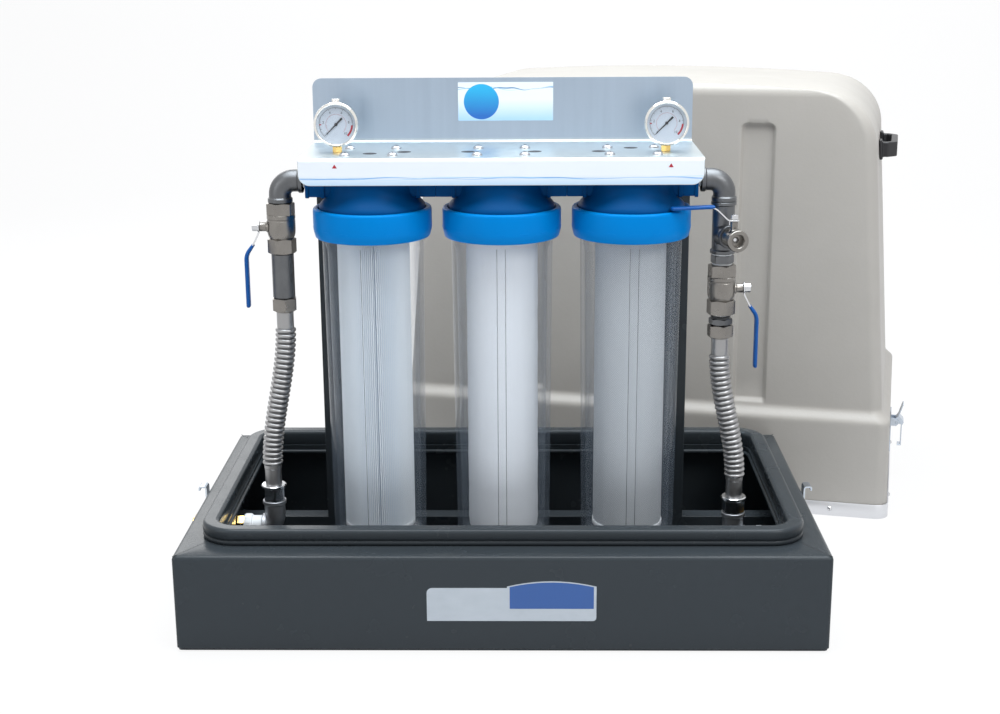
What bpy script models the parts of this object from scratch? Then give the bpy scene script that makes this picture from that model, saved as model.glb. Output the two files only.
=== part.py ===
"""Rainwater filter system: a steel base tray, three clear filter housings on a folded bracket,
valved inlet and outlet lines with ribbed hoses, and the lift-off cover standing behind the tray."""

import math

import bmesh
import bpy
from mathutils import Matrix, Vector

# Clearances and tolerances, metres
GAP = 0.0003
WELD = 0.000002
OVERRUN = 0.004

# Base tray
BASE_WIDTH = 0.960
BASE_DEPTH = 0.580
BASE_HEIGHT = 0.150
BASE_SHEET = 0.002
BASE_EDGE_RADIUS = 0.006
END_MARGIN = 0.055
FACE_MARGIN = 0.063
OPENING_WIDTH = BASE_WIDTH - 2 * END_MARGIN
OPENING_DEPTH = BASE_DEPTH - 2 * FACE_MARGIN
OPENING_RADIUS = 0.030
OPENING_BACK_SHIFT = 0.004
HEM_DROP = 0.016
HEM_PROUD = 0.004
HEM_WALL = 0.010

# Raised rim round the tray's opening
RIM_WIDTH = 0.026
RIM_HEIGHT = 0.025
RIM_LIP_HEIGHT = 0.007
RIM_GROOVE_HEIGHT = 0.004
RIM_GROOVE_DEPTH = 0.003
RIM_EDGE = 0.0015

# Filter positions
FILTER_PITCH = 0.194
FILTER_Y = -0.077

# Upright frame behind the filters
POST_WIDTH = 0.040
POST_DEPTH = 0.030
POST_TOP_BELOW_PLATE = 0.020
RAIL_TOP = 0.085
RAIL_HEIGHT = 0.030

# Folded bracket
BRACKET_MARGIN = 0.003
BRACKET_WIDTH = 3 * FILTER_PITCH + 2 * BRACKET_MARGIN
BRACKET_SHEET = 0.002
BRACKET_BEND = 0.003
SHELF_TOP = 0.708
SHELF_DEPTH = 0.194
PLATE_RISE = 0.098
LIP_DROP = 0.0395
PLATE_FRONT_Y = 0.044
PLATE_CORNER_RADIUS = 0.014
LIP_CORNER_RADIUS = 0.017

# Filter heads
HEAD_TOP_RADIUS = 0.060
HEAD_NECK_RADIUS = 0.063
HEAD_NECK_DROP = 0.062
HEAD_NECK_BOTTOM = SHELF_TOP - HEAD_NECK_DROP
HEAD_FLARE_DROP = 0.077
HEAD_FLARE_BOTTOM = SHELF_TOP - HEAD_FLARE_DROP
HEAD_SKIRT_RADIUS = 0.080
HEAD_CAVITY_RADIUS = 0.060
HEAD_CAVITY_DROP = 0.030
HEAD_CAVITY_TOP = SHELF_TOP - HEAD_CAVITY_DROP
HEAD_WALL_STEP = 0.004
SPIGOT_RADIUS = 0.0125
SPIGOT_LENGTH = 0.016
SPIGOT_BOSS_LENGTH = 0.043
SPIGOT_FLANGE_RADIUS = 0.027
SPIGOT_BORE_RADIUS = 0.009
DUCT_RADIUS = 0.0075
DUCT_BORE_RADIUS = 0.006
BLOCK_DEPTH = 0.050
BLOCK_EDGE = 0.004
PORT_DROP = 0.042
PORT_HEIGHT = SHELF_TOP - PORT_DROP
DUCT_ABOVE_PORT = 0.0015
DUCT_HEIGHT = PORT_HEIGHT + DUCT_ABOVE_PORT
BLOCK_HALF_HEIGHT = 0.022
BLOCK_BOTTOM = PORT_HEIGHT - BLOCK_HALF_HEIGHT
BLOCK_TOP = PORT_HEIGHT + BLOCK_HALF_HEIGHT
PORT_RADIUS = 0.010
NIPPLE_WALL = 0.0022
NIPPLE_GRIP = 0.012
GAUGE_PORT_OFFSET = 0.0495
GAUGE_PORT_RADIUS = 0.0063
GAUGE_PORT_DEPTH = 0.018
SHELF_HOLE_RADIUS = 0.0105
RELIEF_HOLE_FRONT = 0.017
RELIEF_HOLE_REAR = 0.037
BLANK_RADIUS = 0.0085

# Bracket screws
SCREW_SPACING_X = 0.070
SCREW_SPACING_Y = 0.075
SCREW_HEAD_RADIUS = 0.0078
SCREW_HEAD_HEIGHT = 0.0048
SCREW_SHANK_RADIUS = 0.003
SCREW_LENGTH = 0.016

# Ring nuts, bowls, seals
RING_RADIUS = 0.089
RING_DROP = 0.081
RING_TOP = SHELF_TOP - RING_DROP
RING_HEIGHT = 0.044
RING_TOP_EDGE = 0.006
RING_FOOT_CHAMFER = 0.003
RING_FOOT_HEIGHT = 0.010
RING_LIP_HEIGHT = 0.007
BOWL_RADIUS = 0.0765
BOWL_DRAFT = 0.0045
BOWL_WALL = 0.0075
BOWL_BOTTOM = 0.104
BOWL_BASE_RADIUS = 0.014
BOWL_FLOOR = 0.008
BOWL_FLANGE_HEIGHT = 0.0054
SEAL_RADIUS = 0.0735
SEAL_THICKNESS = 0.0034
SEAL_GROOVE_DEPTH = 0.0032

# Cartridges
CARTRIDGE_RADIUS = 0.0545
CARTRIDGE_LENGTH = 0.508
CARTRIDGE_BORE_RADIUS = 0.0135
CARTRIDGE_CAP_HEIGHT = 0.008
PLEAT_DEPTH = 0.006
SEAT_POST_RADIUS = 0.026

# Pressure gauges
GAUGE_RADIUS = 0.033
GAUGE_DEPTH = 0.028
GAUGE_BEZEL = 0.0035
GAUGE_CENTRE_ABOVE_SHELF = 0.042
GAUGE_DIAL_INSET = 0.006
GAUGE_GLASS_THICKNESS = 0.0015
GAUGE_STEM_HEX = 0.0075
GAUGE_STEM_RADIUS = 0.006
GAUGE_PLUG_RADIUS = 0.006
GAUGE_PLUG_HEIGHT = 0.004
NEEDLE_LENGTH = 0.020
NEEDLE_TAIL = 0.013
NEEDLE_WIDTH = 0.0014
NEEDLE_TAIL_WIDTH = 0.003
NEEDLE_THICKNESS = 0.0008
NEEDLE_HUB_RADIUS = 0.0025
NEEDLE_ARBOR_RADIUS = 0.0010
NEEDLE_ARBOR_DEPTH = 0.003
NEEDLE_ZERO_DEGREES = -135.0

# Pipe lines
LINE_BESIDE_HEAD = 0.041
LINE_X = 3 * FILTER_PITCH / 2 + LINE_BESIDE_HEAD
LOW_LINE_INSET = 0.119
LOW_LINE_X = BASE_WIDTH / 2 - LOW_LINE_INSET
FLOW_RADIUS = 0.010
ELBOW_RADIUS = 0.0165
ELBOW_BAND_RADIUS = 0.0185
ELBOW_BAND_HEIGHT = 0.006
ELBOW_BEND = 0.021
ELBOW_HEAD_GAP = 0.0055
ELBOW_DROP = 0.0325
ELBOW_FOOT = PORT_HEIGHT - ELBOW_DROP
TEE_LENGTH = 0.0795
TEE_FOOT = ELBOW_FOOT - TEE_LENGTH
TEE_BRANCH_RISE = 0.0295
TEE_BRANCH_LENGTH = 0.031
TEE_BRANCH_RADIUS = 0.0155
TEE_BRANCH_BORE = 0.008
TEE_TURN_DEGREES = 13.0
NIPPLE_HEX_RADIUS = 0.0165
INLET_VALVE_TOP = ELBOW_FOOT - GAP
OUTLET_VALVE_BELOW_TEE = 0.0171
OUTLET_VALVE_TOP = TEE_FOOT - OUTLET_VALVE_BELOW_TEE
VALVE_TOP_HEX_HEIGHT = 0.019
VALVE_BARREL_HEIGHT = 0.036
VALVE_FOOT_HEX_HEIGHT = 0.022
VALVE_HEX_RADIUS = 0.0215
VALVE_BARREL_RADIUS = 0.0212
BALL_RADIUS = 0.0150
BALL_SEAT_GAP = 0.0014
STEM_RADIUS = 0.004
BOSS_RADIUS = 0.0070
BOSS_REACH = 0.0325
LEVER_THICKNESS = 0.0022
LEVER_WIDTH = 0.012
LEVER_HEAD_RADIUS = 0.009
STEM_NUT_RADIUS = 0.0065
STEM_NUT_LENGTH = 0.009
GRIP_THICKNESS = 0.0060
GRIP_WIDTH = 0.0155
LEVER_DROP_STRAIGHT = 0.008
LEVER_DROP_CRANK = 0.028
LEVER_DROP_GRIP = 0.043
LEVER_DROP_END = 0.122
LEVER_CRANK_OUT = 0.010
LEVER_GRIP_OUT = 0.021
INLET_PIPE_DROP = 0.1455
INLET_PIPE_FOOT = INLET_VALVE_TOP - INLET_PIPE_DROP
INLET_PIPE_RADIUS = 0.0168
OUTLET_NIPPLE_DROP = 0.0929
OUTLET_NIPPLE_FOOT = OUTLET_VALVE_TOP - OUTLET_NIPPLE_DROP
INLET_NUT_HEIGHT = 0.020
OUTLET_NUT_HEIGHT = 0.019
NUT_RADIUS = 0.0195
LOW_NUT_RADIUS = 0.0170
HOSE_END_RADIUS = 0.0127
HOSE_CREST_RADIUS = 0.0155
HOSE_ROOT_RADIUS = 0.0132
HOSE_BORE_RADIUS = 0.0098
HOSE_TOP_LENGTH = 0.047
HOSE_FOOT_LENGTH = 0.058
INLET_HOSE_ABOVE_BASE = 0.011
OUTLET_HOSE_BELOW_BASE = 0.009
INLET_HOSE_FOOT = BASE_HEIGHT + INLET_HOSE_ABOVE_BASE
OUTLET_HOSE_FOOT = BASE_HEIGHT - OUTLET_HOSE_BELOW_BASE
LOW_NUT_HEIGHT = 0.026
LOW_NUT_FLANGE = 0.005
LOW_ELBOW_DROP = 0.043
LOW_ELBOW_REACH = 0.020

# Wall unions through the tray's ends
COUPLING_RADIUS = 0.0150
COUPLING_LENGTH = 0.016
COUPLING_RING_RADIUS = 0.0175
COUPLING_RING_LENGTH = 0.012
COUPLING_BORE_RADIUS = 0.008
UNION_RADIUS = 0.0115
UNION_BORE_RADIUS = 0.008
UNION_HEX_RADIUS = 0.0150
UNION_HEX_LENGTH = 0.012
UNION_FLANGE_RADIUS = 0.0180
UNION_FLANGE_THICKNESS = 0.007
UNION_REACH = 0.012
LOCKNUT_THICKNESS = 0.009

# Sample tap on the outlet tee
TAP_RADIUS = 0.0138
TAP_MOUTH_RADIUS = 0.0162
TAP_MOUTH_BORE = 0.0095
TAP_MOUTH_DEPTH = 0.012
TAP_MOUTH_LENGTH = 0.008
TAP_LENGTH = 0.036
TAP_SPIGOT_LENGTH = 0.010
TAP_BORE = 0.0045
TAP_BALL_RADIUS = 0.0088
TAP_BALL_SETBACK = 0.021
TAP_STEM_RADIUS = 0.0028
TAP_BOSS_RADIUS = 0.0055
TAP_BOSS_REACH = 0.027
TAP_LEVER_WIDTH = 0.010
TAP_LEVER_THICKNESS = 0.0020
TAP_LEVER_HEAD = 0.007
TAP_LEVER_FLAT = 0.010
TAP_LEVER_RISE_RUN = 0.022
TAP_LEVER_RISE = 0.021
TAP_LEVER_REACH = 0.095
TAP_GRIP_THICKNESS = 0.0055
TAP_GRIP_WIDTH = 0.0120
TAP_NUT_RADIUS = 0.0050
TAP_NUT_LENGTH = 0.0070

# Lift-off cover, which drops over the tray's rim
COVER_WALL = 0.004
COVER_FIT = 0.002
COVER_WIDTH = OPENING_WIDTH + 2 * (RIM_WIDTH + COVER_FIT + COVER_WALL)
COVER_DEPTH = OPENING_DEPTH + 2 * (RIM_WIDTH + COVER_FIT + COVER_WALL)
COVER_HEIGHT = 0.768
COVER_CORNER_RADIUS = 0.022
COVER_SKIRT_HEIGHT = 0.1735
COVER_SKIRT_DRAFT = 0.003
COVER_STEP_HEIGHT = 0.023
COVER_STEP_INSET = 0.018
COVER_END_DRAFT = 0.033
COVER_FACE_DRAFT = 0.014
COVER_END_RADIUS = 0.105
COVER_EDGE_RADIUS = 0.022
COVER_CROWN = 0.010
COVER_TOP_FALL = 0.008
COVER_CROWN_SHARES = (0.75, 0.45, 0.15)
COVER_SHOULDER = COVER_HEIGHT - COVER_CROWN - COVER_END_RADIUS
COVER_YAW_DEGREES = -13.0
COVER_BESIDE_TRAY = 0.2008
COVER_CORNER_FORWARD = 0.0356
COVER_CORNER_X = BASE_WIDTH / 2 + COVER_BESIDE_TRAY
COVER_CORNER_Y = BASE_DEPTH / 2 - COVER_CORNER_FORWARD
CHANNEL_WIDTH = 0.059
CHANNEL_DEPTH = 0.009
CHANNEL_FROM_END = 0.254
CHANNEL_LOW = 0.199
CHANNEL_TOP = 0.700
STRIP_HEIGHT = 0.026
STRIP_THICKNESS = 0.002
STRIP_SCREW_RADIUS = 0.0045
STRIP_SCREW_SHANK = 0.0020
STRIP_SCREW_LENGTH = 0.009
STRIP_SCREW_DOME = 0.0026
STRIP_SCREW_FROM_END = 0.100
HANDLE_BELOW_SHOULDER = 0.015
HANDLE_HEIGHT = COVER_SHOULDER - HANDLE_BELOW_SHOULDER
HANDLE_LENGTH = 0.150
HANDLE_REACH = 0.032
HANDLE_BAR = 0.012
HANDLE_TALL = 0.027
HANDLE_FOOT_LENGTH = 0.024
HANDLE_FOOT_THICKNESS = 0.006
HANDLE_FOOT_TALL = 0.036

# Latches on the cover and catches on the tray
LATCH_WIDTH = 0.030
LATCH_SHEET = 0.002
LATCH_PLATE_LOW = 0.050
LATCH_PLATE_HIGH = 0.130
LATCH_PIVOT_HEIGHT = 0.108
LATCH_PIVOT_OUT = 0.012
LATCH_EAR_RADIUS = 0.007
LATCH_PIN_RADIUS = 0.0020
LATCH_LEVER_LENGTH = 0.036
LATCH_LEVER_LEAN = 0.010
LATCH_LEVER_SHEET = 0.0022
LATCH_BARREL_RADIUS = 0.0040
LATCH_EYE_RADIUS = 0.0038
LATCH_HOOK_DROP = 0.046
LATCH_HOOK_PIN_OUT = 0.010
LATCH_HOOK_TOE = 0.0065
CATCH_Y = 0.014
CATCH_WIDTH = 0.022
CATCH_LOW = 0.104
CATCH_KNEE = 0.122
CATCH_HIGH = 0.154
CATCH_SHEET = 0.0025
CATCH_STAND_OFF = 0.006
CATCH_REACH = 0.017
CATCH_TURN_DOWN = 0.006

# Counts
CORNER_STEPS = 4
ELBOW_STEPS = 3
HEAD_SIDES = 18
RING_SIDES = 20
BOWL_SIDES = 18
GAUGE_SIDES = 14
PIPE_SIDES = 10
SMALL_SIDES = 8
SCREW_SIDES = 6
PLEATS = 32
CREST_SHARE = 0.3
ROOT_SHARE = 0.8
ROUND_SHARE = 0.5
INLET_RIBS = 28
OUTLET_RIBS = 25
BALL_STEPS = 6
COVER_CORNER_STEPS = 3
COVER_TOP_STEPS = 5

# Places worked out from the sizes
SHELF_UNDER = SHELF_TOP - BRACKET_SHEET
HEAD_TOP = SHELF_UNDER - GAP
SHELF_FRONT_Y = PLATE_FRONT_Y + BRACKET_SHEET - SHELF_DEPTH
FILTER_X = (-FILTER_PITCH, 0, FILTER_PITCH)
FILTER_NAMES = ("first", "second", "third")
CARTRIDGE_TOP = HEAD_CAVITY_TOP - HEAD_WALL_STEP - SPIGOT_BOSS_LENGTH
CARTRIDGE_BOTTOM = CARTRIDGE_TOP - CARTRIDGE_LENGTH
RING_BOTTOM = RING_TOP - RING_HEIGHT
FLANGE_BOTTOM = RING_BOTTOM + RING_LIP_HEIGHT + GAP
FLANGE_TOP = FLANGE_BOTTOM + BOWL_FLANGE_HEIGHT
HEAD_SKIRT_BOTTOM = FLANGE_TOP + GAP
HEAD_END_X = FILTER_PITCH + FILTER_PITCH / 2
GAUGE_Z = SHELF_TOP + GAUGE_CENTRE_ABOVE_SHELF
GAUGE_X = FILTER_PITCH + GAUGE_PORT_OFFSET
X_AXIS, Y_AXIS, Z_AXIS = Vector((1, 0, 0)), Vector((0, 1, 0)), Vector((0, 0, 1))

for leftover in list(bpy.data.objects):
    bpy.data.objects.remove(leftover, do_unlink=True)
parts = bpy.data.collections.new("rainwater_filter_system")
cutters = bpy.data.collections.new("cutters")
for collection in (parts, cutters):
    bpy.context.scene.collection.children.link(collection)
cutters.hide_render = True


def colour(name, red, green, blue, roughness, metallic=0.0, alpha=1.0):
    """A Principled material."""
    material = bpy.data.materials.new(name)
    material.use_nodes = True
    shader = material.node_tree.nodes["Principled BSDF"]
    shader.inputs["Base Color"].default_value = (red, green, blue, 1)
    shader.inputs["Roughness"].default_value = roughness
    shader.inputs["Metallic"].default_value = metallic
    shader.inputs["Alpha"].default_value = alpha
    material.diffuse_color = (red, green, blue, alpha)
    return material


GREY_PAINT = colour("dark_grey_paint", 0.042, 0.050, 0.056, 0.22)
STAINLESS = colour("brushed_stainless", 0.55, 0.58, 0.62, 0.32, 1.0)
BLUE_HEAD = colour("blue_head_plastic", 0.004, 0.16, 0.48, 0.35)
BLUE_RING = colour("blue_ring_plastic", 0.005, 0.23, 0.66, 0.38)
CLEAR = colour("clear_bowl_plastic", 0.82, 0.88, 0.92, 0.06, 0.0, 0.3)
CLEAR_GLASS = colour("clear_glass", 0.86, 0.90, 0.92, 0.02, 0.0, 0.25)
SEAL_RUBBER = colour("black_rubber", 0.02, 0.02, 0.02, 0.7)
PLEATED_PAPER = colour("white_pleated_paper", 0.78, 0.82, 0.88, 0.8)
SPUN_FIBRE = colour("white_spun_fibre", 0.80, 0.82, 0.85, 0.85)
CARBON_SLEEVE = colour("white_net_sleeve", 0.66, 0.69, 0.73, 0.75)
POLISHED = colour("polished_steel", 0.72, 0.72, 0.70, 0.12, 1.0)
NEEDLE_BLACK = colour("black_needle", 0.01, 0.01, 0.012, 0.5)
GALVANISED = colour("galvanised_iron", 0.50, 0.52, 0.54, 0.40, 1.0)
NICKEL = colour("nickel_plate", 0.60, 0.58, 0.54, 0.28, 1.0)
BRASS = colour("yellow_brass", 0.62, 0.42, 0.14, 0.30, 1.0)
BLUE_SLEEVE = colour("blue_vinyl", 0.010, 0.10, 0.46, 0.40)
WHITE_PLASTIC = colour("white_plastic", 0.80, 0.82, 0.84, 0.45)
BEIGE = colour("beige_moulding", 0.47, 0.43, 0.37, 0.50)
ALUMINIUM = colour("mill_aluminium", 0.62, 0.63, 0.66, 0.40, 1.0)
BLACK_PLASTIC = colour("black_plastic", 0.015, 0.015, 0.017, 0.35)
ZINC = colour("bright_zinc", 0.60, 0.64, 0.70, 0.25, 1.0)


def new_object(mesh):
    obj = bpy.data.objects.new("piece", mesh)
    cutters.objects.link(obj)
    obj.hide_render = True
    obj.display_type = "WIRE"
    return obj


def drop(obj):
    bpy.data.objects.remove(obj, do_unlink=True)


def from_bmesh(shape):
    bmesh.ops.recalc_face_normals(shape, faces=shape.faces)
    mesh = bpy.data.meshes.new("shape")
    shape.to_mesh(mesh)
    shape.free()
    return new_object(mesh)


def settled(obj):
    """The object's evaluated shape as a plain mesh in world space, welded and facing out."""
    bpy.context.view_layer.update()
    graph = bpy.context.evaluated_depsgraph_get()
    mesh = bpy.data.meshes.new_from_object(obj.evaluated_get(graph))
    mesh.transform(obj.matrix_world)
    shape = bmesh.new()
    shape.from_mesh(mesh)
    bmesh.ops.remove_doubles(shape, verts=shape.verts, dist=WELD)
    drop(obj)
    return from_bmesh(shape)


def combined(operation, target, tools):
    for tool in tools:
        step = target.modifiers.new(operation, "BOOLEAN")
        step.operation = operation
        step.solver = "EXACT"
        step.object = tool
    result = settled(target)
    for tool in tools:
        drop(tool)
    return result


def joined(target, *tools):
    return combined("UNION", target, tools)


def cut(target, *tools):
    return combined("DIFFERENCE", target, tools)


def common(target, *tools):
    return combined("INTERSECT", target, tools)


def moved(obj, matrix):
    obj.data.transform(matrix)
    if matrix.determinant() < 0:
        obj.data.flip_normals()
    return obj


def copied(obj, matrix):
    return moved(new_object(obj.data.copy()), matrix)


def part(name, obj, material, pivot=(0, 0, 0)):
    """Makes the piece a named sub-part whose origin is at its pivot."""
    obj.data.transform(Matrix.Translation(-Vector(pivot)))
    obj.location = pivot
    obj.name = obj.data.name = name
    obj.data.materials.clear()
    obj.data.materials.append(material)
    obj.data.shade_smooth()
    obj.data.set_sharp_from_angle(angle=math.radians(35))
    cutters.objects.unlink(obj)
    parts.objects.link(obj)
    obj.hide_render = False
    obj.display_type = "TEXTURED"
    return obj


def box(low, high, radius=0.0, steps=2, along=None):
    """A box between two corners. A radius rounds its edges, or only those along one axis."""
    low, high = Vector(low), Vector(high)
    shape = bmesh.new()
    size = Matrix.Diagonal((high - low).to_4d())
    bmesh.ops.create_cube(shape, size=1, matrix=Matrix.Translation((low + high) / 2) @ size)
    if radius:
        edges = [
            edge
            for edge in shape.edges
            if along is None or abs((edge.verts[1].co - edge.verts[0].co).normalized().dot(along)) > 0.9
        ]
        bmesh.ops.bevel(
            shape,
            geom=edges,
            offset=radius,
            segments=steps,
            profile=ROUND_SHARE,
            affect="EDGES",
            clamp_overlap=True,
        )
    return from_bmesh(shape)


def cylinder(start, end, radius, sides=PIPE_SIDES):
    """A cylinder from one point to another. With six sides it is a hexagon."""
    start, end = Vector(start), Vector(end)
    along = end - start
    frame = Matrix.Translation((start + end) / 2) @ along.to_track_quat("Z", "Y").to_matrix().to_4x4()
    shape = bmesh.new()
    bmesh.ops.create_cone(
        shape,
        cap_ends=True,
        segments=sides,
        radius1=radius,
        radius2=radius,
        depth=along.length,
        matrix=frame,
    )
    return from_bmesh(shape)


def sphere(centre, radius, sides=PIPE_SIDES, rings=BALL_STEPS):
    shape = bmesh.new()
    bmesh.ops.create_uvsphere(
        shape, u_segments=sides, v_segments=rings, radius=radius, matrix=Matrix.Translation(centre)
    )
    return from_bmesh(shape)


def turned(profile, sides, matrix=None):
    """A closed profile of (radius, height) points turned round +Z. Edges on the axis are left out."""
    mesh = bpy.data.meshes.new("profile")
    points = [(radius, 0, height) for radius, height in profile]
    edges = [(index - 1, index) for index in range(1, len(points))] + [(len(points) - 1, 0)]
    edges = [(one, other) for one, other in edges if points[one][0] or points[other][0]]
    mesh.from_pydata(points, edges, [])
    obj = new_object(mesh)
    screw = obj.modifiers.new("turn", "SCREW")
    screw.steps = screw.render_steps = sides
    screw.use_merge_vertices = True
    screw.merge_threshold = WELD
    obj = settled(obj)
    return moved(obj, matrix) if matrix else obj


def plane_matrix(axis, height):
    """Takes a drawing's (u, v) to the plane across an axis."""
    if axis == "X":
        return Matrix(((0, 0, 1, height), (1, 0, 0, 0), (0, 1, 0, 0), (0, 0, 0, 1)))
    if axis == "Y":
        return Matrix(((1, 0, 0, 0), (0, 0, -1, height), (0, 1, 0, 0), (0, 0, 0, 1)))
    return Matrix.Translation((0, 0, height))


def slab(points, low, high, axis):
    """A flat outline extruded between two heights on an axis."""
    curve = bpy.data.curves.new("outline", "CURVE")
    curve.dimensions = "2D"
    curve.fill_mode = "BOTH"
    curve.extrude = (high - low) / 2
    spline = curve.splines.new("POLY")
    spline.points.add(len(points) - 1)
    for place, (u, v) in zip(spline.points, points):
        place.co = (u, v, 0, 1)
    spline.use_cyclic_u = True
    obj = bpy.data.objects.new("outline", curve)
    cutters.objects.link(obj)
    obj.matrix_world = plane_matrix(axis, (low + high) / 2)
    return settled(obj)


def tube(points, radius, sides=SMALL_SIDES, swells=None):
    """A pipe along a route, with a factor on its radius at each point where swells are given."""
    curve = bpy.data.curves.new("route", "CURVE")
    curve.dimensions = "3D"
    curve.bevel_depth = radius
    curve.bevel_resolution = sides // 2 - 2
    curve.use_fill_caps = True
    spline = curve.splines.new("POLY")
    spline.points.add(len(points) - 1)
    for index, (place, point) in enumerate(zip(spline.points, points)):
        place.co = (*point, 1)
        place.radius = swells[index] if swells else 1
    obj = bpy.data.objects.new("route", curve)
    cutters.objects.link(obj)
    return settled(obj)


def arc(centre_u, centre_v, radius, start, end, steps):
    """Points on an arc, in degrees."""
    turns = [math.radians(start + (end - start) * step / steps) for step in range(steps + 1)]
    return [(centre_u + radius * math.cos(turn), centre_v + radius * math.sin(turn)) for turn in turns]


def rounded_rectangle(low_u, low_v, high_u, high_v, radius, steps=CORNER_STEPS):
    """Anticlockwise from the low corner. The radius may be one value, or (low, high) for the two v sides."""
    low_radius, high_radius = radius if isinstance(radius, tuple) else (radius, radius)
    points = arc(low_u + low_radius, low_v + low_radius, low_radius, 180, 270, steps)
    points += arc(high_u - low_radius, low_v + low_radius, low_radius, 270, 360, steps)
    points += arc(high_u - high_radius, high_v - high_radius, high_radius, 0, 90, steps)
    points += arc(low_u + high_radius, high_v - high_radius, high_radius, 90, 180, steps)
    return points


def ring_of(section, outline_at):
    """A closed ring: each section point (offset, height) is an outline, and neighbours are joined."""
    shape = bmesh.new()
    rings = []
    for offset, height in section:
        rings.append([shape.verts.new((u, v, height)) for u, v in outline_at(offset)])
    for ring, above in zip(rings, rings[1:] + rings[:1]):
        for index, corner in enumerate(ring):
            behind = index - 1
            shape.faces.new((ring[behind], corner, above[index], above[behind]))
    return from_bmesh(shape)


def ribbon(points, thickness):
    """The outline of a bent strip of one thickness that follows points in a plane."""
    route = [Vector(point) for point in points]
    sides = ([], [])
    for index, here in enumerate(route):
        before = (here - route[index - 1]).normalized() if index else None
        after = (route[index + 1] - here).normalized() if index < len(route) - 1 else None
        before, after = before or after, after or before
        bisector = (before + after).normalized()
        across = Vector((-bisector.y, bisector.x))
        reach = thickness / 2 / across.dot(Vector((-before.y, before.x)))
        sides[0].append(tuple(here + across * reach))
        sides[1].append(tuple(here - across * reach))
    return sides[0] + sides[1][::-1]


def opening_outline(offset):
    """The tray opening's outline, larger by an offset."""
    half = OPENING_WIDTH / 2 + offset
    front = OPENING_BACK_SHIFT - OPENING_DEPTH / 2 - offset
    back = OPENING_BACK_SHIFT + OPENING_DEPTH / 2 + offset
    return rounded_rectangle(-half, front, half, back, OPENING_RADIUS + offset)


def build_base():
    half_width, half_depth = BASE_WIDTH / 2, BASE_DEPTH / 2
    outside = box(
        (-half_width, -half_depth, 0), (half_width, half_depth, BASE_HEIGHT), BASE_EDGE_RADIUS, steps=2
    )
    inside = box(
        (BASE_SHEET - half_width, BASE_SHEET - half_depth, BASE_SHEET),
        (half_width - BASE_SHEET, half_depth - BASE_SHEET, BASE_HEIGHT - BASE_SHEET),
    )
    tray = cut(outside, inside)
    hem_low = BASE_HEIGHT - HEM_DROP
    inner, outer, roll = -HEM_PROUD, HEM_WALL - HEM_PROUD, HEM_PROUD
    hem = ring_of(
        [
            (inner, hem_low + roll),
            (inner, BASE_HEIGHT - roll),
            (inner + roll, BASE_HEIGHT - BASE_SHEET / 2),
            (outer, BASE_HEIGHT - BASE_SHEET / 2),
            (outer, hem_low),
            (inner + roll, hem_low),
        ],
        opening_outline,
    )
    tray = cut(tray, slab(opening_outline(0), hem_low, BASE_HEIGHT + OVERRUN, "Z"))
    tray = joined(tray, hem)
    hole_radius = UNION_RADIUS + GAP
    for side, foot in ((-1, INLET_HOSE_FOOT), (1, OUTLET_HOSE_FOOT)):
        height = foot - LOW_ELBOW_DROP
        start = (side * (half_width - BASE_SHEET - OVERRUN), FILTER_Y, height)
        end = (side * (half_width + OVERRUN), FILTER_Y, height)
        tray = cut(tray, cylinder(start, end, hole_radius))
    part("base_box", joined(tray, *catches()), GREY_PAINT)


def catches():
    """A hook welded to each end of the tray, standing off it, its lip out and down."""
    hooks = []
    for side in (-1, 1):
        near = side * (BASE_WIDTH / 2 + CATCH_SHEET / 2 - BASE_SHEET / 2)
        far = near + side * CATCH_REACH
        lip = CATCH_HIGH - CATCH_SHEET
        stand = near + side * CATCH_STAND_OFF
        route = [(near, CATCH_LOW), (near, CATCH_KNEE), (stand, CATCH_KNEE + CATCH_STAND_OFF)]
        route += [(stand, lip), (far, lip), (far, lip - CATCH_TURN_DOWN)]
        low_y, high_y = CATCH_Y - CATCH_WIDTH / 2, CATCH_Y + CATCH_WIDTH / 2
        hooks.append(slab(ribbon(route, CATCH_SHEET), low_y, high_y, "Y"))
    return hooks


def build_rim():
    low, high = BASE_HEIGHT + GAP, BASE_HEIGHT + RIM_HEIGHT
    lip_low = high - RIM_LIP_HEIGHT
    groove_low = lip_low - RIM_GROOVE_HEIGHT
    section = [
        (RIM_WIDTH - RIM_EDGE, low),
        (RIM_WIDTH, low + RIM_EDGE),
        (RIM_WIDTH, groove_low - RIM_EDGE),
        (RIM_WIDTH - RIM_GROOVE_DEPTH, groove_low + RIM_EDGE),
        (RIM_WIDTH - RIM_GROOVE_DEPTH, lip_low),
        (RIM_WIDTH, lip_low + RIM_EDGE),
        (RIM_WIDTH, high - RIM_EDGE),
        (RIM_WIDTH - RIM_EDGE, high),
        (RIM_EDGE, high),
        (0, high - RIM_EDGE),
        (0, low),
    ]
    reach = BASE_WIDTH / 2
    for name, side in (("rim_front_half", -1), ("rim_rear_half", 1)):
        middle = OPENING_BACK_SHIFT + side * GAP / 2
        far = side * BASE_DEPTH
        keep = box(
            (-reach, min(middle, far), low - OVERRUN), (reach, max(middle, far), high + OVERRUN)
        )
        part(name, common(ring_of(section, opening_outline), keep), GREY_PAINT)


def build_upright_frame():
    back = PLATE_FRONT_Y + BRACKET_SHEET + GAP
    half = BRACKET_WIDTH / 2
    top = SHELF_TOP + PLATE_RISE - POST_TOP_BELOW_PLATE
    floor = BASE_SHEET + GAP
    end = BASE_WIDTH / 2 - BASE_SHEET - GAP
    rail = box((-end, back, RAIL_TOP - RAIL_HEIGHT), (end, back + POST_DEPTH, RAIL_TOP))
    posts = [
        box(
            (min(side * half, side * (half - POST_WIDTH)), back, floor),
            (max(side * half, side * (half - POST_WIDTH)), back + POST_DEPTH, top),
        )
        for side in (-1, 1)
    ]
    part("upright_frame", joined(rail, *posts), GREY_PAINT)


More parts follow.
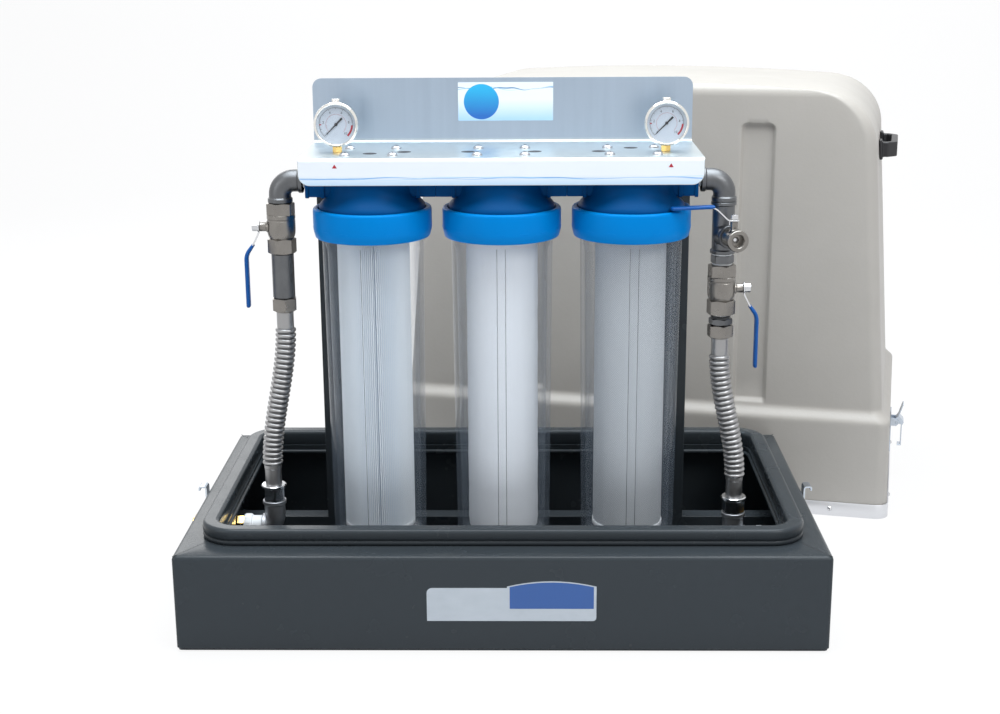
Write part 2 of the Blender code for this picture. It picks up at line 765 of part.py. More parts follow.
def shelf_holes():
    """(x, y) of each hole for a gauge or plug, and of the two over the vents."""
    places = [(x + side * GAUGE_PORT_OFFSET, FILTER_Y) for x in FILTER_X for side in (-1, 1)]
    places.append((FILTER_X[0], FILTER_Y - RELIEF_HOLE_FRONT))
    places.append((FILTER_X[2], FILTER_Y + RELIEF_HOLE_REAR))
    return places


def screw_places():
    return [
        (x + side * SCREW_SPACING_X / 2, FILTER_Y + row * SCREW_SPACING_Y / 2)
        for x in FILTER_X
        for side in (-1, 1)
        for row in (-1, 1)
    ]


def build_bracket():
    half, sheet, bend = BRACKET_WIDTH / 2, BRACKET_SHEET, BRACKET_BEND
    back, front = PLATE_FRONT_Y + sheet, SHELF_FRONT_Y
    top, lip = SHELF_TOP + PLATE_RISE, SHELF_TOP - LIP_DROP
    outer, inner = bend + sheet, bend
    steps = CORNER_STEPS - 1
    section = [(back, top), (back - sheet, top)]
    section += arc(back - sheet - inner, SHELF_TOP + inner, inner, 0, -90, steps)
    section += arc(front + outer, SHELF_TOP - outer, outer, 90, 180, steps)
    section += [(front, lip), (front + sheet, lip)]
    section += arc(front + sheet + inner, SHELF_UNDER - inner, inner, 180, 90, steps)
    section += arc(back - outer, SHELF_UNDER + outer, outer, 270, 360, steps)
    folded = slab(section, -half, half, "X")
    face = rounded_rectangle(-half, lip, half, top, (LIP_CORNER_RADIUS, PLATE_CORNER_RADIUS))
    folded = common(folded, slab(face, front - OVERRUN, back + OVERRUN, "Y"))
    low, high = SHELF_UNDER - OVERRUN, SHELF_TOP + OVERRUN
    for x, y in shelf_holes():
        folded = cut(folded, cylinder((x, y, low), (x, y, high), SHELF_HOLE_RADIUS, PIPE_SIDES))
    foot = SHELF_TOP - BRACKET_SHEET / 2
    top = SHELF_TOP + SCREW_HEAD_HEIGHT
    profile = [
        (0, top),
        (SCREW_HEAD_RADIUS, foot),
        (SCREW_SHANK_RADIUS, foot),
        (SCREW_SHANK_RADIUS, SHELF_TOP - SCREW_LENGTH),
        (0, SHELF_TOP - SCREW_LENGTH),
    ]
    screws = [turned(profile, SCREW_SIDES, Matrix.Translation((x, y, 0))) for x, y in screw_places()]
    part("filter_bracket", joined(folded, *screws), STAINLESS)


def build_heads():
    step, top = HEAD_WALL_STEP, HEAD_CAVITY_TOP
    for name, x in zip(FILTER_NAMES, FILTER_X):
        outer = turned(
            [
                (0, HEAD_TOP),
                (HEAD_TOP_RADIUS, HEAD_TOP),
                (HEAD_NECK_RADIUS, HEAD_NECK_BOTTOM),
                (HEAD_NECK_RADIUS + step, HEAD_NECK_BOTTOM - step),
                (HEAD_SKIRT_RADIUS - GAP - step, HEAD_FLARE_BOTTOM + step),
                (HEAD_SKIRT_RADIUS - GAP, HEAD_FLARE_BOTTOM),
                (HEAD_SKIRT_RADIUS - GAP, HEAD_SKIRT_BOTTOM),
                (0, HEAD_SKIRT_BOTTOM),
            ],
            HEAD_SIDES,
        )
        half = FILTER_PITCH / 2 - GAP / 2
        block = box(
            (-half, -BLOCK_DEPTH / 2, BLOCK_BOTTOM),
            (half, BLOCK_DEPTH / 2, BLOCK_TOP),
            BLOCK_EDGE,
            steps=1,
            along=X_AXIS,
        )
        head = joined(outer, block)
        cavity = turned(
            [
                (HEAD_CAVITY_RADIUS - step, top),
                (HEAD_CAVITY_RADIUS, HEAD_FLARE_BOTTOM),
                (HEAD_CAVITY_RADIUS, HEAD_SKIRT_BOTTOM - OVERRUN),
                (SPIGOT_FLANGE_RADIUS, HEAD_SKIRT_BOTTOM - OVERRUN),
                (SPIGOT_FLANGE_RADIUS, top),
            ],
            PIPE_SIDES,
        )
        under = turned(
            [
                (SPIGOT_FLANGE_RADIUS + step, CARTRIDGE_TOP + GAP),
                (SPIGOT_FLANGE_RADIUS + step, HEAD_SKIRT_BOTTOM - OVERRUN),
                (0, HEAD_SKIRT_BOTTOM - OVERRUN),
                (0, CARTRIDGE_TOP - SPIGOT_LENGTH),
                (SPIGOT_RADIUS, CARTRIDGE_TOP - SPIGOT_LENGTH),
                (SPIGOT_RADIUS, CARTRIDGE_TOP + GAP),
            ],
            PIPE_SIDES,
        )
        head = cut(head, cavity, under)
        duct = cylinder(
            (SPIGOT_BORE_RADIUS, 0, DUCT_HEIGHT),
            (HEAD_CAVITY_RADIUS + step / 4, 0, DUCT_HEIGHT),
            DUCT_RADIUS,
            SMALL_SIDES,
        )
        head = joined(head, duct)
        low = CARTRIDGE_TOP - SPIGOT_LENGTH - OVERRUN
        rise = cylinder((0, 0, low), (0, 0, DUCT_HEIGHT), SPIGOT_BORE_RADIUS, SMALL_SIDES)
        reach = half + NIPPLE_GRIP + OVERRUN
        across = cylinder((0, 0, DUCT_HEIGHT), (reach, 0, DUCT_HEIGHT), DUCT_BORE_RADIUS, SMALL_SIDES)
        if x == FILTER_X[-1]:
            outlet = [
                cylinder(
                    (half - 2 * NIPPLE_GRIP, 0, PORT_HEIGHT),
                    (half + OVERRUN, 0, PORT_HEIGHT),
                    PORT_RADIUS,
                    SMALL_SIDES,
                )
            ]
        else:
            outlet = []
            nipple = cylinder(
                (half - NIPPLE_GRIP, 0, PORT_HEIGHT),
                (half + NIPPLE_GRIP, 0, PORT_HEIGHT),
                PORT_RADIUS - GAP,
                SMALL_SIDES,
            )
            head = joined(head, nipple)
        inlet = cylinder(
            (-HEAD_CAVITY_RADIUS + 2 * step, 0, PORT_HEIGHT),
            (-half - OVERRUN, 0, PORT_HEIGHT),
            PORT_RADIUS,
            SMALL_SIDES,
        )
        drills = []
        for side in (-1, 1):
            place = side * GAUGE_PORT_OFFSET
            if abs(abs(x + place) - GAUGE_X) < GAP:
                drills.append(
                    cylinder(
                        (place, 0, HEAD_TOP - GAUGE_PORT_DEPTH),
                        (place, 0, HEAD_TOP + OVERRUN),
                        GAUGE_PORT_RADIUS,
                        SMALL_SIDES,
                    )
                )
            else:
                blank = cylinder(
                    (place, 0, HEAD_TOP - step), (place, 0, SHELF_TOP), BLANK_RADIUS, PIPE_SIDES
                )
                head = joined(head, blank)
        drills += [
            cylinder(
                (side * SCREW_SPACING_X / 2, row * SCREW_SPACING_Y / 2, SHELF_TOP - SCREW_LENGTH - GAP),
                (side * SCREW_SPACING_X / 2, row * SCREW_SPACING_Y / 2, HEAD_TOP + OVERRUN),
                SCREW_SHANK_RADIUS + 2 * GAP,
                SCREW_SIDES,
            )
            for side in (-1, 1)
            for row in (-1, 1)
        ]
        head = cut(head, rise, across, *outlet, inlet, *drills)
        moved(head, Matrix.Translation((x, FILTER_Y, 0)))
        part(f"{name}_head", head, BLUE_HEAD)


def build_filters():
    facet = math.cos(math.pi / RING_SIDES)
    lip_radius = BOWL_RADIUS / facet + GAP
    bore = HEAD_SKIRT_RADIUS / facet + GAP
    lip_top = RING_BOTTOM + RING_LIP_HEIGHT
    ring_profile = [
        (RING_RADIUS - RING_TOP_EDGE / 2, RING_TOP),
        (RING_RADIUS, RING_TOP - RING_TOP_EDGE / 2),
        (RING_RADIUS, RING_BOTTOM + RING_FOOT_HEIGHT),
        (RING_RADIUS - RING_FOOT_CHAMFER, RING_BOTTOM),
        (lip_radius, RING_BOTTOM),
        (lip_radius, lip_top),
        (bore, lip_top),
        (bore, RING_TOP),
    ]
    top, low = FLANGE_TOP, FLANGE_BOTTOM
    inner_top = BOWL_RADIUS - BOWL_WALL
    foot_radius = BOWL_RADIUS - BOWL_DRAFT
    groove = SEAL_THICKNESS / 2 + GAP
    floor = BOWL_BOTTOM + BOWL_FLOOR
    rest = CARTRIDGE_BOTTOM - GAP
    bowl_profile = [
        (inner_top, top - SEAL_GROOVE_DEPTH),
        (SEAL_RADIUS + groove, top - SEAL_GROOVE_DEPTH),
        (SEAL_RADIUS + groove, top),
        (HEAD_SKIRT_RADIUS - GAP, top),
        (HEAD_SKIRT_RADIUS - GAP, low),
        (BOWL_RADIUS, low),
        (foot_radius, BOWL_BOTTOM + BOWL_BASE_RADIUS),
        (foot_radius - BOWL_BASE_RADIUS / 4, BOWL_BOTTOM + BOWL_BASE_RADIUS / 3),
        (foot_radius - BOWL_BASE_RADIUS, BOWL_BOTTOM),
        (0, BOWL_BOTTOM),
        (0, rest + SPIGOT_LENGTH),
        (SPIGOT_RADIUS, rest + SPIGOT_LENGTH),
        (SPIGOT_RADIUS, rest),
        (SEAT_POST_RADIUS, rest),
        (SEAT_POST_RADIUS, floor),
        (foot_radius - BOWL_WALL - BOWL_BASE_RADIUS / 2, floor),
        (foot_radius - BOWL_WALL, floor + BOWL_BASE_RADIUS / 2),
        (inner_top, low - BOWL_WALL),
    ]
    seal_low = top - SEAL_GROOVE_DEPTH + GAP
    seal_half = SEAL_THICKNESS / 2
    seal_profile = [
        (SEAL_RADIUS, seal_low + SEAL_GROOVE_DEPTH - GAP),
        (SEAL_RADIUS + seal_half, seal_low + seal_half),
        (SEAL_RADIUS, seal_low),
        (SEAL_RADIUS - seal_half, seal_low + seal_half),
    ]
    cartridges = (pleated_cartridge, spun_cartridge, carbon_cartridge)
    finishes = (PLEATED_PAPER, SPUN_FIBRE, CARBON_SLEEVE)
    for name, x, cartridge, finish in zip(FILTER_NAMES, FILTER_X, cartridges, finishes):
        place = Matrix.Translation((x, FILTER_Y, 0))
        pivot = (x, FILTER_Y, RING_BOTTOM)
        part(f"{name}_ring_nut", turned(ring_profile, RING_SIDES, place), BLUE_RING, pivot)
        part(f"{name}_bowl", turned(bowl_profile, BOWL_SIDES, place), CLEAR, pivot)
        part(f"{name}_bowl_seal", turned(seal_profile, BOWL_SIDES, place), SEAL_RUBBER, pivot)
        part(f"{name}_cartridge", moved(cartridge(), place), finish, pivot)


def pleated_cartridge():
    """A star of paper folds between two end caps, round a hollow core."""
    crest = CARTRIDGE_RADIUS - 5 * GAP
    folds = []
    for index in range(2 * PLEATS):
        radius = crest if index % 2 else crest - PLEAT_DEPTH
        turn = math.pi * index / PLEATS
        folds.append((radius * math.cos(turn), radius * math.sin(turn)))
    low, high, cap = CARTRIDGE_BOTTOM, CARTRIDGE_TOP, CARTRIDGE_CAP_HEIGHT
    pack = slab(folds, low + cap / 2, high - cap / 2, "Z")
    caps = [
        cylinder((0, 0, low), (0, 0, low + cap), CARTRIDGE_RADIUS, HEAD_SIDES),
        cylinder((0, 0, high - cap), (0, 0, high), CARTRIDGE_RADIUS, HEAD_SIDES),
    ]
    core = cylinder((0, 0, low - OVERRUN), (0, 0, high + OVERRUN), CARTRIDGE_BORE_RADIUS, HEAD_SIDES)
    return cut(joined(pack, *caps), core)


def spun_cartridge():
    low, high = CARTRIDGE_BOTTOM, CARTRIDGE_TOP
    profile = [
        (CARTRIDGE_RADIUS, high),
        (CARTRIDGE_RADIUS, low),
        (CARTRIDGE_BORE_RADIUS, low),
        (CARTRIDGE_BORE_RADIUS, high),
    ]
    return turned(profile, BOWL_SIDES)


def carbon_cartridge():
    """A netted sleeve between two end caps that stand a little proud of it."""
    low, high, cap = CARTRIDGE_BOTTOM, CARTRIDGE_TOP, CARTRIDGE_CAP_HEIGHT
    sleeve = CARTRIDGE_RADIUS - 4 * GAP
    profile = [
        (CARTRIDGE_RADIUS, high),
        (CARTRIDGE_RADIUS, high - cap),
        (sleeve, high - cap),
        (sleeve, low + cap),
        (CARTRIDGE_RADIUS, low + cap),
        (CARTRIDGE_RADIUS, low),
        (CARTRIDGE_BORE_RADIUS, low),
        (CARTRIDGE_BORE_RADIUS, high),
    ]
    return turned(profile, BOWL_SIDES)


def facing_front(x, height):
    """Takes +Z of a turned piece to the viewer, along -Y, at a gauge's place."""
    return Matrix.Translation((x, FILTER_Y, height)) @ Matrix.Rotation(math.radians(90), 4, "X")


def build_gauges():
    front, back = GAUGE_DEPTH / 2, -GAUGE_DEPTH / 2
    rim = GAUGE_RADIUS - GAUGE_BEZEL
    bezel_back = front - 2 * GAUGE_BEZEL
    case_radius = GAUGE_RADIUS - GAUGE_BEZEL / 2
    dial = front - GAUGE_DIAL_INSET
    hole = NEEDLE_ARBOR_RADIUS + GAP
    case_profile = [
        (rim, front),
        (GAUGE_RADIUS - GAUGE_BEZEL / 3, front - GAUGE_BEZEL / 3),
        (GAUGE_RADIUS, front - GAUGE_BEZEL),
        (GAUGE_RADIUS, bezel_back),
        (case_radius, bezel_back),
        (case_radius, back + GAUGE_BEZEL),
        (case_radius - GAUGE_BEZEL, back),
        (0, back),
        (0, dial - NEEDLE_ARBOR_DEPTH - GAP),
        (hole, dial - NEEDLE_ARBOR_DEPTH - GAP),
        (hole, dial),
        (rim, dial),
    ]
    glass_front = front - GAUGE_BEZEL / 2
    glass_back = glass_front - GAUGE_GLASS_THICKNESS
    for name, side in (("inlet", -1), ("outlet", 1)):
        x = side * GAUGE_X
        place = facing_front(x, GAUGE_Z)
        hex_foot = SHELF_TOP + GAP
        stem = cylinder(
            (x, FILTER_Y, HEAD_TOP - GAUGE_PORT_DEPTH + GAP),
            (x, FILTER_Y, GAUGE_Z - rim),
            GAUGE_STEM_RADIUS,
            SMALL_SIDES,
        )
        hexagon = cylinder(
            (x, FILTER_Y, hex_foot), (x, FILTER_Y, GAUGE_Z - rim - GAUGE_BEZEL / 3), GAUGE_STEM_HEX, 6
        )
        plug_top = GAUGE_Z + GAUGE_RADIUS + GAUGE_PLUG_HEIGHT
        plug_foot = GAUGE_Z + rim + GAUGE_BEZEL / 4
        plug = cylinder((x, FILTER_Y, plug_foot), (x, FILTER_Y, plug_top), GAUGE_PLUG_RADIUS, SMALL_SIDES)
        case = turned(case_profile, GAUGE_SIDES, place)
        part(f"{name}_gauge_case", joined(case, hexagon, stem, plug), POLISHED)
        pane = [(0, glass_front), (rim - GAP, glass_front), (rim - GAP, glass_back), (0, glass_back)]
        part(f"{name}_gauge_glass", turned(pane, GAUGE_SIDES, place), CLEAR_GLASS)
        part(f"{name}_gauge_needle", needle(dial, place), NEEDLE_BLACK, (x, FILTER_Y, GAUGE_Z))


def needle(dial_top, place):
    """Points down and to the left at zero, as seen from the front."""
    low = dial_top + 2 * GAP
    high = low + NEEDLE_THICKNESS
    outline = [
        (0, -NEEDLE_WIDTH),
        (NEEDLE_LENGTH, -NEEDLE_WIDTH / 4),
        (NEEDLE_LENGTH, NEEDLE_WIDTH / 4),
        (0, NEEDLE_WIDTH),
        (-NEEDLE_TAIL, NEEDLE_TAIL_WIDTH / 2),
        (-NEEDLE_TAIL, -NEEDLE_TAIL_WIDTH / 2),
    ]
    blade = slab(outline, low, high, "Z")
    hub = cylinder((0, 0, low - GAP), (0, 0, high + GAP), NEEDLE_HUB_RADIUS, SCREW_SIDES)
    arbor = cylinder((0, 0, dial_top - NEEDLE_ARBOR_DEPTH), (0, 0, high), NEEDLE_ARBOR_RADIUS, SCREW_SIDES)
    pointer = joined(blade, hub, arbor)
    return moved(pointer, place @ Matrix.Rotation(math.radians(NEEDLE_ZERO_DEGREES), 4, "Z"))


def elbow(start, corner, end, bend, bore, far_band, nipple=None, through=None):
    """A bored right-angle elbow, banded at its start and, if wanted, at its end, with a bored nipple."""
    first, second = (start - corner).normalized(), (end - corner).normalized()
    centre = corner + (first + second) * bend
    wide = ELBOW_BAND_RADIUS / ELBOW_RADIUS
    route = [start, start - first * ELBOW_BAND_HEIGHT, start - first * (ELBOW_BAND_HEIGHT + GAP)]
    swells = [wide, wide, 1]
    for step in range(ELBOW_STEPS + 1):
        turn = math.radians(90) * step / ELBOW_STEPS
        route.append(centre - second * bend * math.cos(turn) - first * bend * math.sin(turn))
        swells.append(1)
    inside = [start + first * OVERRUN] + route[3:] + [end + second * OVERRUN]
    if far_band:
        route += [end - second * (ELBOW_BAND_HEIGHT + GAP), end - second * ELBOW_BAND_HEIGHT]
        swells += [1, wide]
    route.append(end)
    swells.append(wide if far_band else 1)
    body = tube(route, ELBOW_RADIUS, PIPE_SIDES, swells)
    if nipple:
        body = joined(body, nipple)
    return cut(body, tube(inside, bore, SMALL_SIDES), *([through] if through else []))


def build_elbows():
    male = PORT_RADIUS - GAP
    for name, side in (("inlet", -1), ("outlet", 1)):
        start = Vector((side * (HEAD_END_X + ELBOW_HEAD_GAP), FILTER_Y, PORT_HEIGHT))
        corner = Vector((side * LINE_X, FILTER_Y, PORT_HEIGHT))
        end = Vector((side * LINE_X, FILTER_Y, ELBOW_FOOT))
        outward = X_AXIS * side
        tip = start - outward * (ELBOW_HEAD_GAP + NIPPLE_GRIP)
        nipple = cylinder(tip, start + outward * ELBOW_BAND_HEIGHT, male, SMALL_SIDES)
        through = cylinder(
            tip - outward * OVERRUN, start + outward * ELBOW_BAND_HEIGHT, male - NIPPLE_WALL, SMALL_SIDES
        )
        body = elbow(start, corner, end, ELBOW_BEND, male - NIPPLE_WALL, True, nipple, through)
        part(f"{name}_top_elbow", body, GALVANISED)
    for name, side, hose_foot in (("inlet", -1, INLET_HOSE_FOOT), ("outlet", 1, OUTLET_HOSE_FOOT)):
        height = hose_foot - LOW_ELBOW_DROP
        start = Vector((side * LOW_LINE_X, FILTER_Y, hose_foot - GAP))
        corner = Vector((side * LOW_LINE_X, FILTER_Y, height))
        end = Vector((side * (LOW_LINE_X + LOW_ELBOW_REACH), FILTER_Y, height))
        bend = LOW_ELBOW_REACH - ELBOW_BAND_HEIGHT / 3
        body = elbow(start, corner, end, bend, UNION_BORE_RADIUS, False)
        part(f"{name}_low_elbow", body, GALVANISED)


def bored(solid, x, low, high):
    """Drilled through along the vertical line at x."""
    drill = cylinder((x, FILTER_Y, low - OVERRUN), (x, FILTER_Y, high + OVERRUN), FLOW_RADIUS, SMALL_SIDES)
    return cut(solid, drill)


def valve(name, side, top, tail=None):
    """A lever ball valve on the vertical line, its stem pointing away from the filters. Returns its foot."""
    x = side * LINE_X
    barrel_top = top - VALVE_TOP_HEX_HEIGHT
    barrel_foot = barrel_top - VALVE_BARREL_HEIGHT
    foot = barrel_foot - VALVE_FOOT_HEX_HEIGHT
    centre = Vector((x, FILTER_Y, (barrel_top + barrel_foot) / 2))
    edge = VALVE_HEX_RADIUS / 8
    barrel = turned(
        [
            (0, barrel_top + edge),
            (VALVE_BARREL_RADIUS - edge, barrel_top + edge),
            (VALVE_BARREL_RADIUS, barrel_top - edge),
            (VALVE_BARREL_RADIUS, barrel_foot + edge),
            (VALVE_BARREL_RADIUS - edge, barrel_foot - edge),
            (0, barrel_foot - edge),
        ],
        PIPE_SIDES,
        Matrix.Translation((x, FILTER_Y, 0)),
    )
    top_hexagon = cylinder((x, FILTER_Y, barrel_top), (x, FILTER_Y, top), VALVE_HEX_RADIUS, 6)
    foot_hexagon = cylinder((x, FILTER_Y, foot), (x, FILTER_Y, barrel_foot), VALVE_HEX_RADIUS, 6)
    boss_end = centre + X_AXIS * side * BOSS_REACH
    boss = cylinder(centre + X_AXIS * side * BALL_RADIUS, boss_end, BOSS_RADIUS)
    body = joined(barrel, top_hexagon, foot_hexagon, boss)
    if tail:
        nipple = cylinder((x, FILTER_Y, tail), (x, FILTER_Y, foot + OVERRUN), NIPPLE_HEX_RADIUS, 6)
        body = joined(body, nipple)
    chamber = Z_AXIS * (BALL_RADIUS + 2 * GAP)
    cavity = cylinder(centre - chamber, centre + chamber, BALL_RADIUS + BALL_SEAT_GAP)
    stem_hole = cylinder(centre, boss_end + X_AXIS * side * OVERRUN, STEM_RADIUS + GAP, SMALL_SIDES)
    body = cut(bored(body, x, tail or foot, top), cavity, stem_hole)
    part(f"{name}_valve_body", body, NICKEL)

    lever_inner = boss_end + X_AXIS * side * GAP
    lever_outer = lever_inner + X_AXIS * side * LEVER_THICKNESS
    nut_inner = lever_outer + X_AXIS * side * GAP
    nut_outer = nut_inner + X_AXIS * side * STEM_NUT_LENGTH
    ball = sphere(centre, BALL_RADIUS)
    stem = cylinder(centre, nut_inner + X_AXIS * side * STEM_NUT_LENGTH / 2, STEM_RADIUS, SMALL_SIDES)
    nut = cylinder(nut_inner, nut_outer, STEM_NUT_RADIUS, 6)
    ball = bored(joined(ball, stem, nut), x, foot, top)
    part(f"{name}_valve_ball", ball, NICKEL, centre)

    middle = abs(lever_inner.x) + LEVER_THICKNESS / 2
    route = [
        (side * middle, centre.z),
        (side * middle, centre.z - LEVER_DROP_STRAIGHT),
        (side * (middle + LEVER_CRANK_OUT), centre.z - LEVER_DROP_CRANK),
        (side * (middle + LEVER_GRIP_OUT), centre.z - LEVER_DROP_GRIP),
        (side * (middle + LEVER_GRIP_OUT), centre.z - LEVER_DROP_END),
    ]
    low_y, high_y = FILTER_Y - LEVER_WIDTH / 2, FILTER_Y + LEVER_WIDTH / 2
    strip = slab(ribbon(route, LEVER_THICKNESS), low_y, high_y, "Y")
    head = cylinder(lever_inner, lever_outer, LEVER_HEAD_RADIUS)
    hole = cylinder(
        centre, nut_outer + X_AXIS * side * OVERRUN, STEM_RADIUS + GAP, SMALL_SIDES
    )
    part(f"{name}_valve_lever", cut(joined(strip, head), hole), STAINLESS, centre)

    low_y, high_y = FILTER_Y - GRIP_WIDTH / 2, FILTER_Y + GRIP_WIDTH / 2
    tip = (route[-1][0], route[-1][1] - GRIP_THICKNESS / 3)
    sleeve = slab(ribbon(route[2:4] + [tip], GRIP_THICKNESS), low_y, high_y, "Y")
    pocket = slab(
        ribbon(route[1:4] + [(route[-1][0], route[-1][1] - GAP)], LEVER_THICKNESS + 2 * GAP),
        FILTER_Y - LEVER_WIDTH / 2 - GAP,
        FILTER_Y + LEVER_WIDTH / 2 + GAP,
        "Y",
    )
    part(f"{name}_lever_grip", cut(sleeve, pocket), BLUE_SLEEVE, centre)
    return foot


def hose(top, foot, side, nut_height, ribs):
    """A ribbed hose from the line to its low elbow, with its bore, plain ends and a nut crimped on each."""
    start, end = top - HOSE_TOP_LENGTH, foot + HOSE_FOOT_LENGTH
    shift = LOW_LINE_X - LINE_X

    def at(height):
        along = min(max((start - height) / (start - end), 0), 1)
        eased = along * along * (3 - 2 * along)
        return Vector((side * (LINE_X + shift * eased), FILTER_Y, height))

    crest = HOSE_CREST_RADIUS / HOSE_END_RADIUS
    root = HOSE_ROOT_RADIUS / HOSE_END_RADIUS
    route, swells = [at(top), at(start)], [1, 1]
    pitch = (start - end) / ribs
    for rib in range(ribs):
        route += [at(start - pitch * (rib + share)) for share in (CREST_SHARE, ROOT_SHARE)]
        swells += [crest, root]
    route += [at(end), at(foot)]
    swells += [1, 1]
    outside = tube(route, HOSE_END_RADIUS, SMALL_SIDES, swells)
    fittings = [
        cylinder(at(top - nut_height), at(top), NUT_RADIUS, 6),
        cylinder(at(foot), at(foot + LOW_NUT_HEIGHT), LOW_NUT_RADIUS, 6),
        cylinder(at(foot + LOW_NUT_HEIGHT - LOW_NUT_FLANGE), at(foot + LOW_NUT_HEIGHT), NUT_RADIUS),
    ]
    steps = CORNER_STEPS
    inside = [at(top) + Z_AXIS * OVERRUN]
    inside += [at(start - (start - end) * step / steps) for step in range(steps + 1)]
    inside.append(at(foot) - Z_AXIS * OVERRUN)
    return cut(joined(outside, *fittings), tube(inside, HOSE_BORE_RADIUS, SMALL_SIDES))


def build_lines():
    inlet_foot = valve("inlet", -1, INLET_VALVE_TOP)
    valve("outlet", 1, OUTLET_VALVE_TOP, OUTLET_NIPPLE_FOOT)
    x = -LINE_X
    low, high = INLET_PIPE_FOOT, inlet_foot - GAP
    pipe = cylinder((x, FILTER_Y, low), (x, FILTER_Y, high), INLET_PIPE_RADIUS)
    part("inlet_pipe", bored(pipe, x, low, high), GALVANISED)

    x = LINE_X
    low, high = TEE_FOOT, ELBOW_FOOT - GAP
    place = Matrix.Translation((x, FILTER_Y, TEE_FOOT + TEE_BRANCH_RISE))
    place = place @ Matrix.Rotation(math.radians(TEE_TURN_DEGREES), 4, "Z")
    run = cylinder((x, FILTER_Y, low), (x, FILTER_Y, high), ELBOW_RADIUS)
    bands = [
        cylinder((x, FILTER_Y, low), (x, FILTER_Y, low + ELBOW_BAND_HEIGHT), ELBOW_BAND_RADIUS),
        cylinder((x, FILTER_Y, high - ELBOW_BAND_HEIGHT), (x, FILTER_Y, high), ELBOW_BAND_RADIUS),
    ]
    reach = TEE_BRANCH_LENGTH
    branch = moved(cylinder((0, 0, 0), (0, -reach, 0), TEE_BRANCH_RADIUS), place)
    collar = moved(cylinder((0, ELBOW_BAND_HEIGHT - reach, 0), (0, -reach, 0), ELBOW_RADIUS), place)
    side_bore = moved(cylinder((0, 0, 0), (0, -reach - OVERRUN, 0), TEE_BRANCH_BORE, SMALL_SIDES), place)
    nipple = cylinder(
        (x, FILTER_Y, OUTLET_VALVE_TOP + GAP), (x, FILTER_Y, low + OVERRUN), NIPPLE_HEX_RADIUS, 6
    )
    body = joined(run, *bands, branch, collar, nipple)
    tee = cut(bored(body, x, OUTLET_VALVE_TOP, high), side_bore)
    part("outlet_tee", tee, GALVANISED)
    build_tap(place)

    lines = (
        ("inlet", -1, INLET_PIPE_FOOT - GAP, INLET_HOSE_FOOT, INLET_NUT_HEIGHT, INLET_RIBS),
        ("outlet", 1, OUTLET_NIPPLE_FOOT - GAP, OUTLET_HOSE_FOOT, OUTLET_NUT_HEIGHT, OUTLET_RIBS),
    )
    for name, side, top, foot, height, ribs in lines:
        part(f"{name}_hose", hose(top, foot, side, height, ribs), STAINLESS)


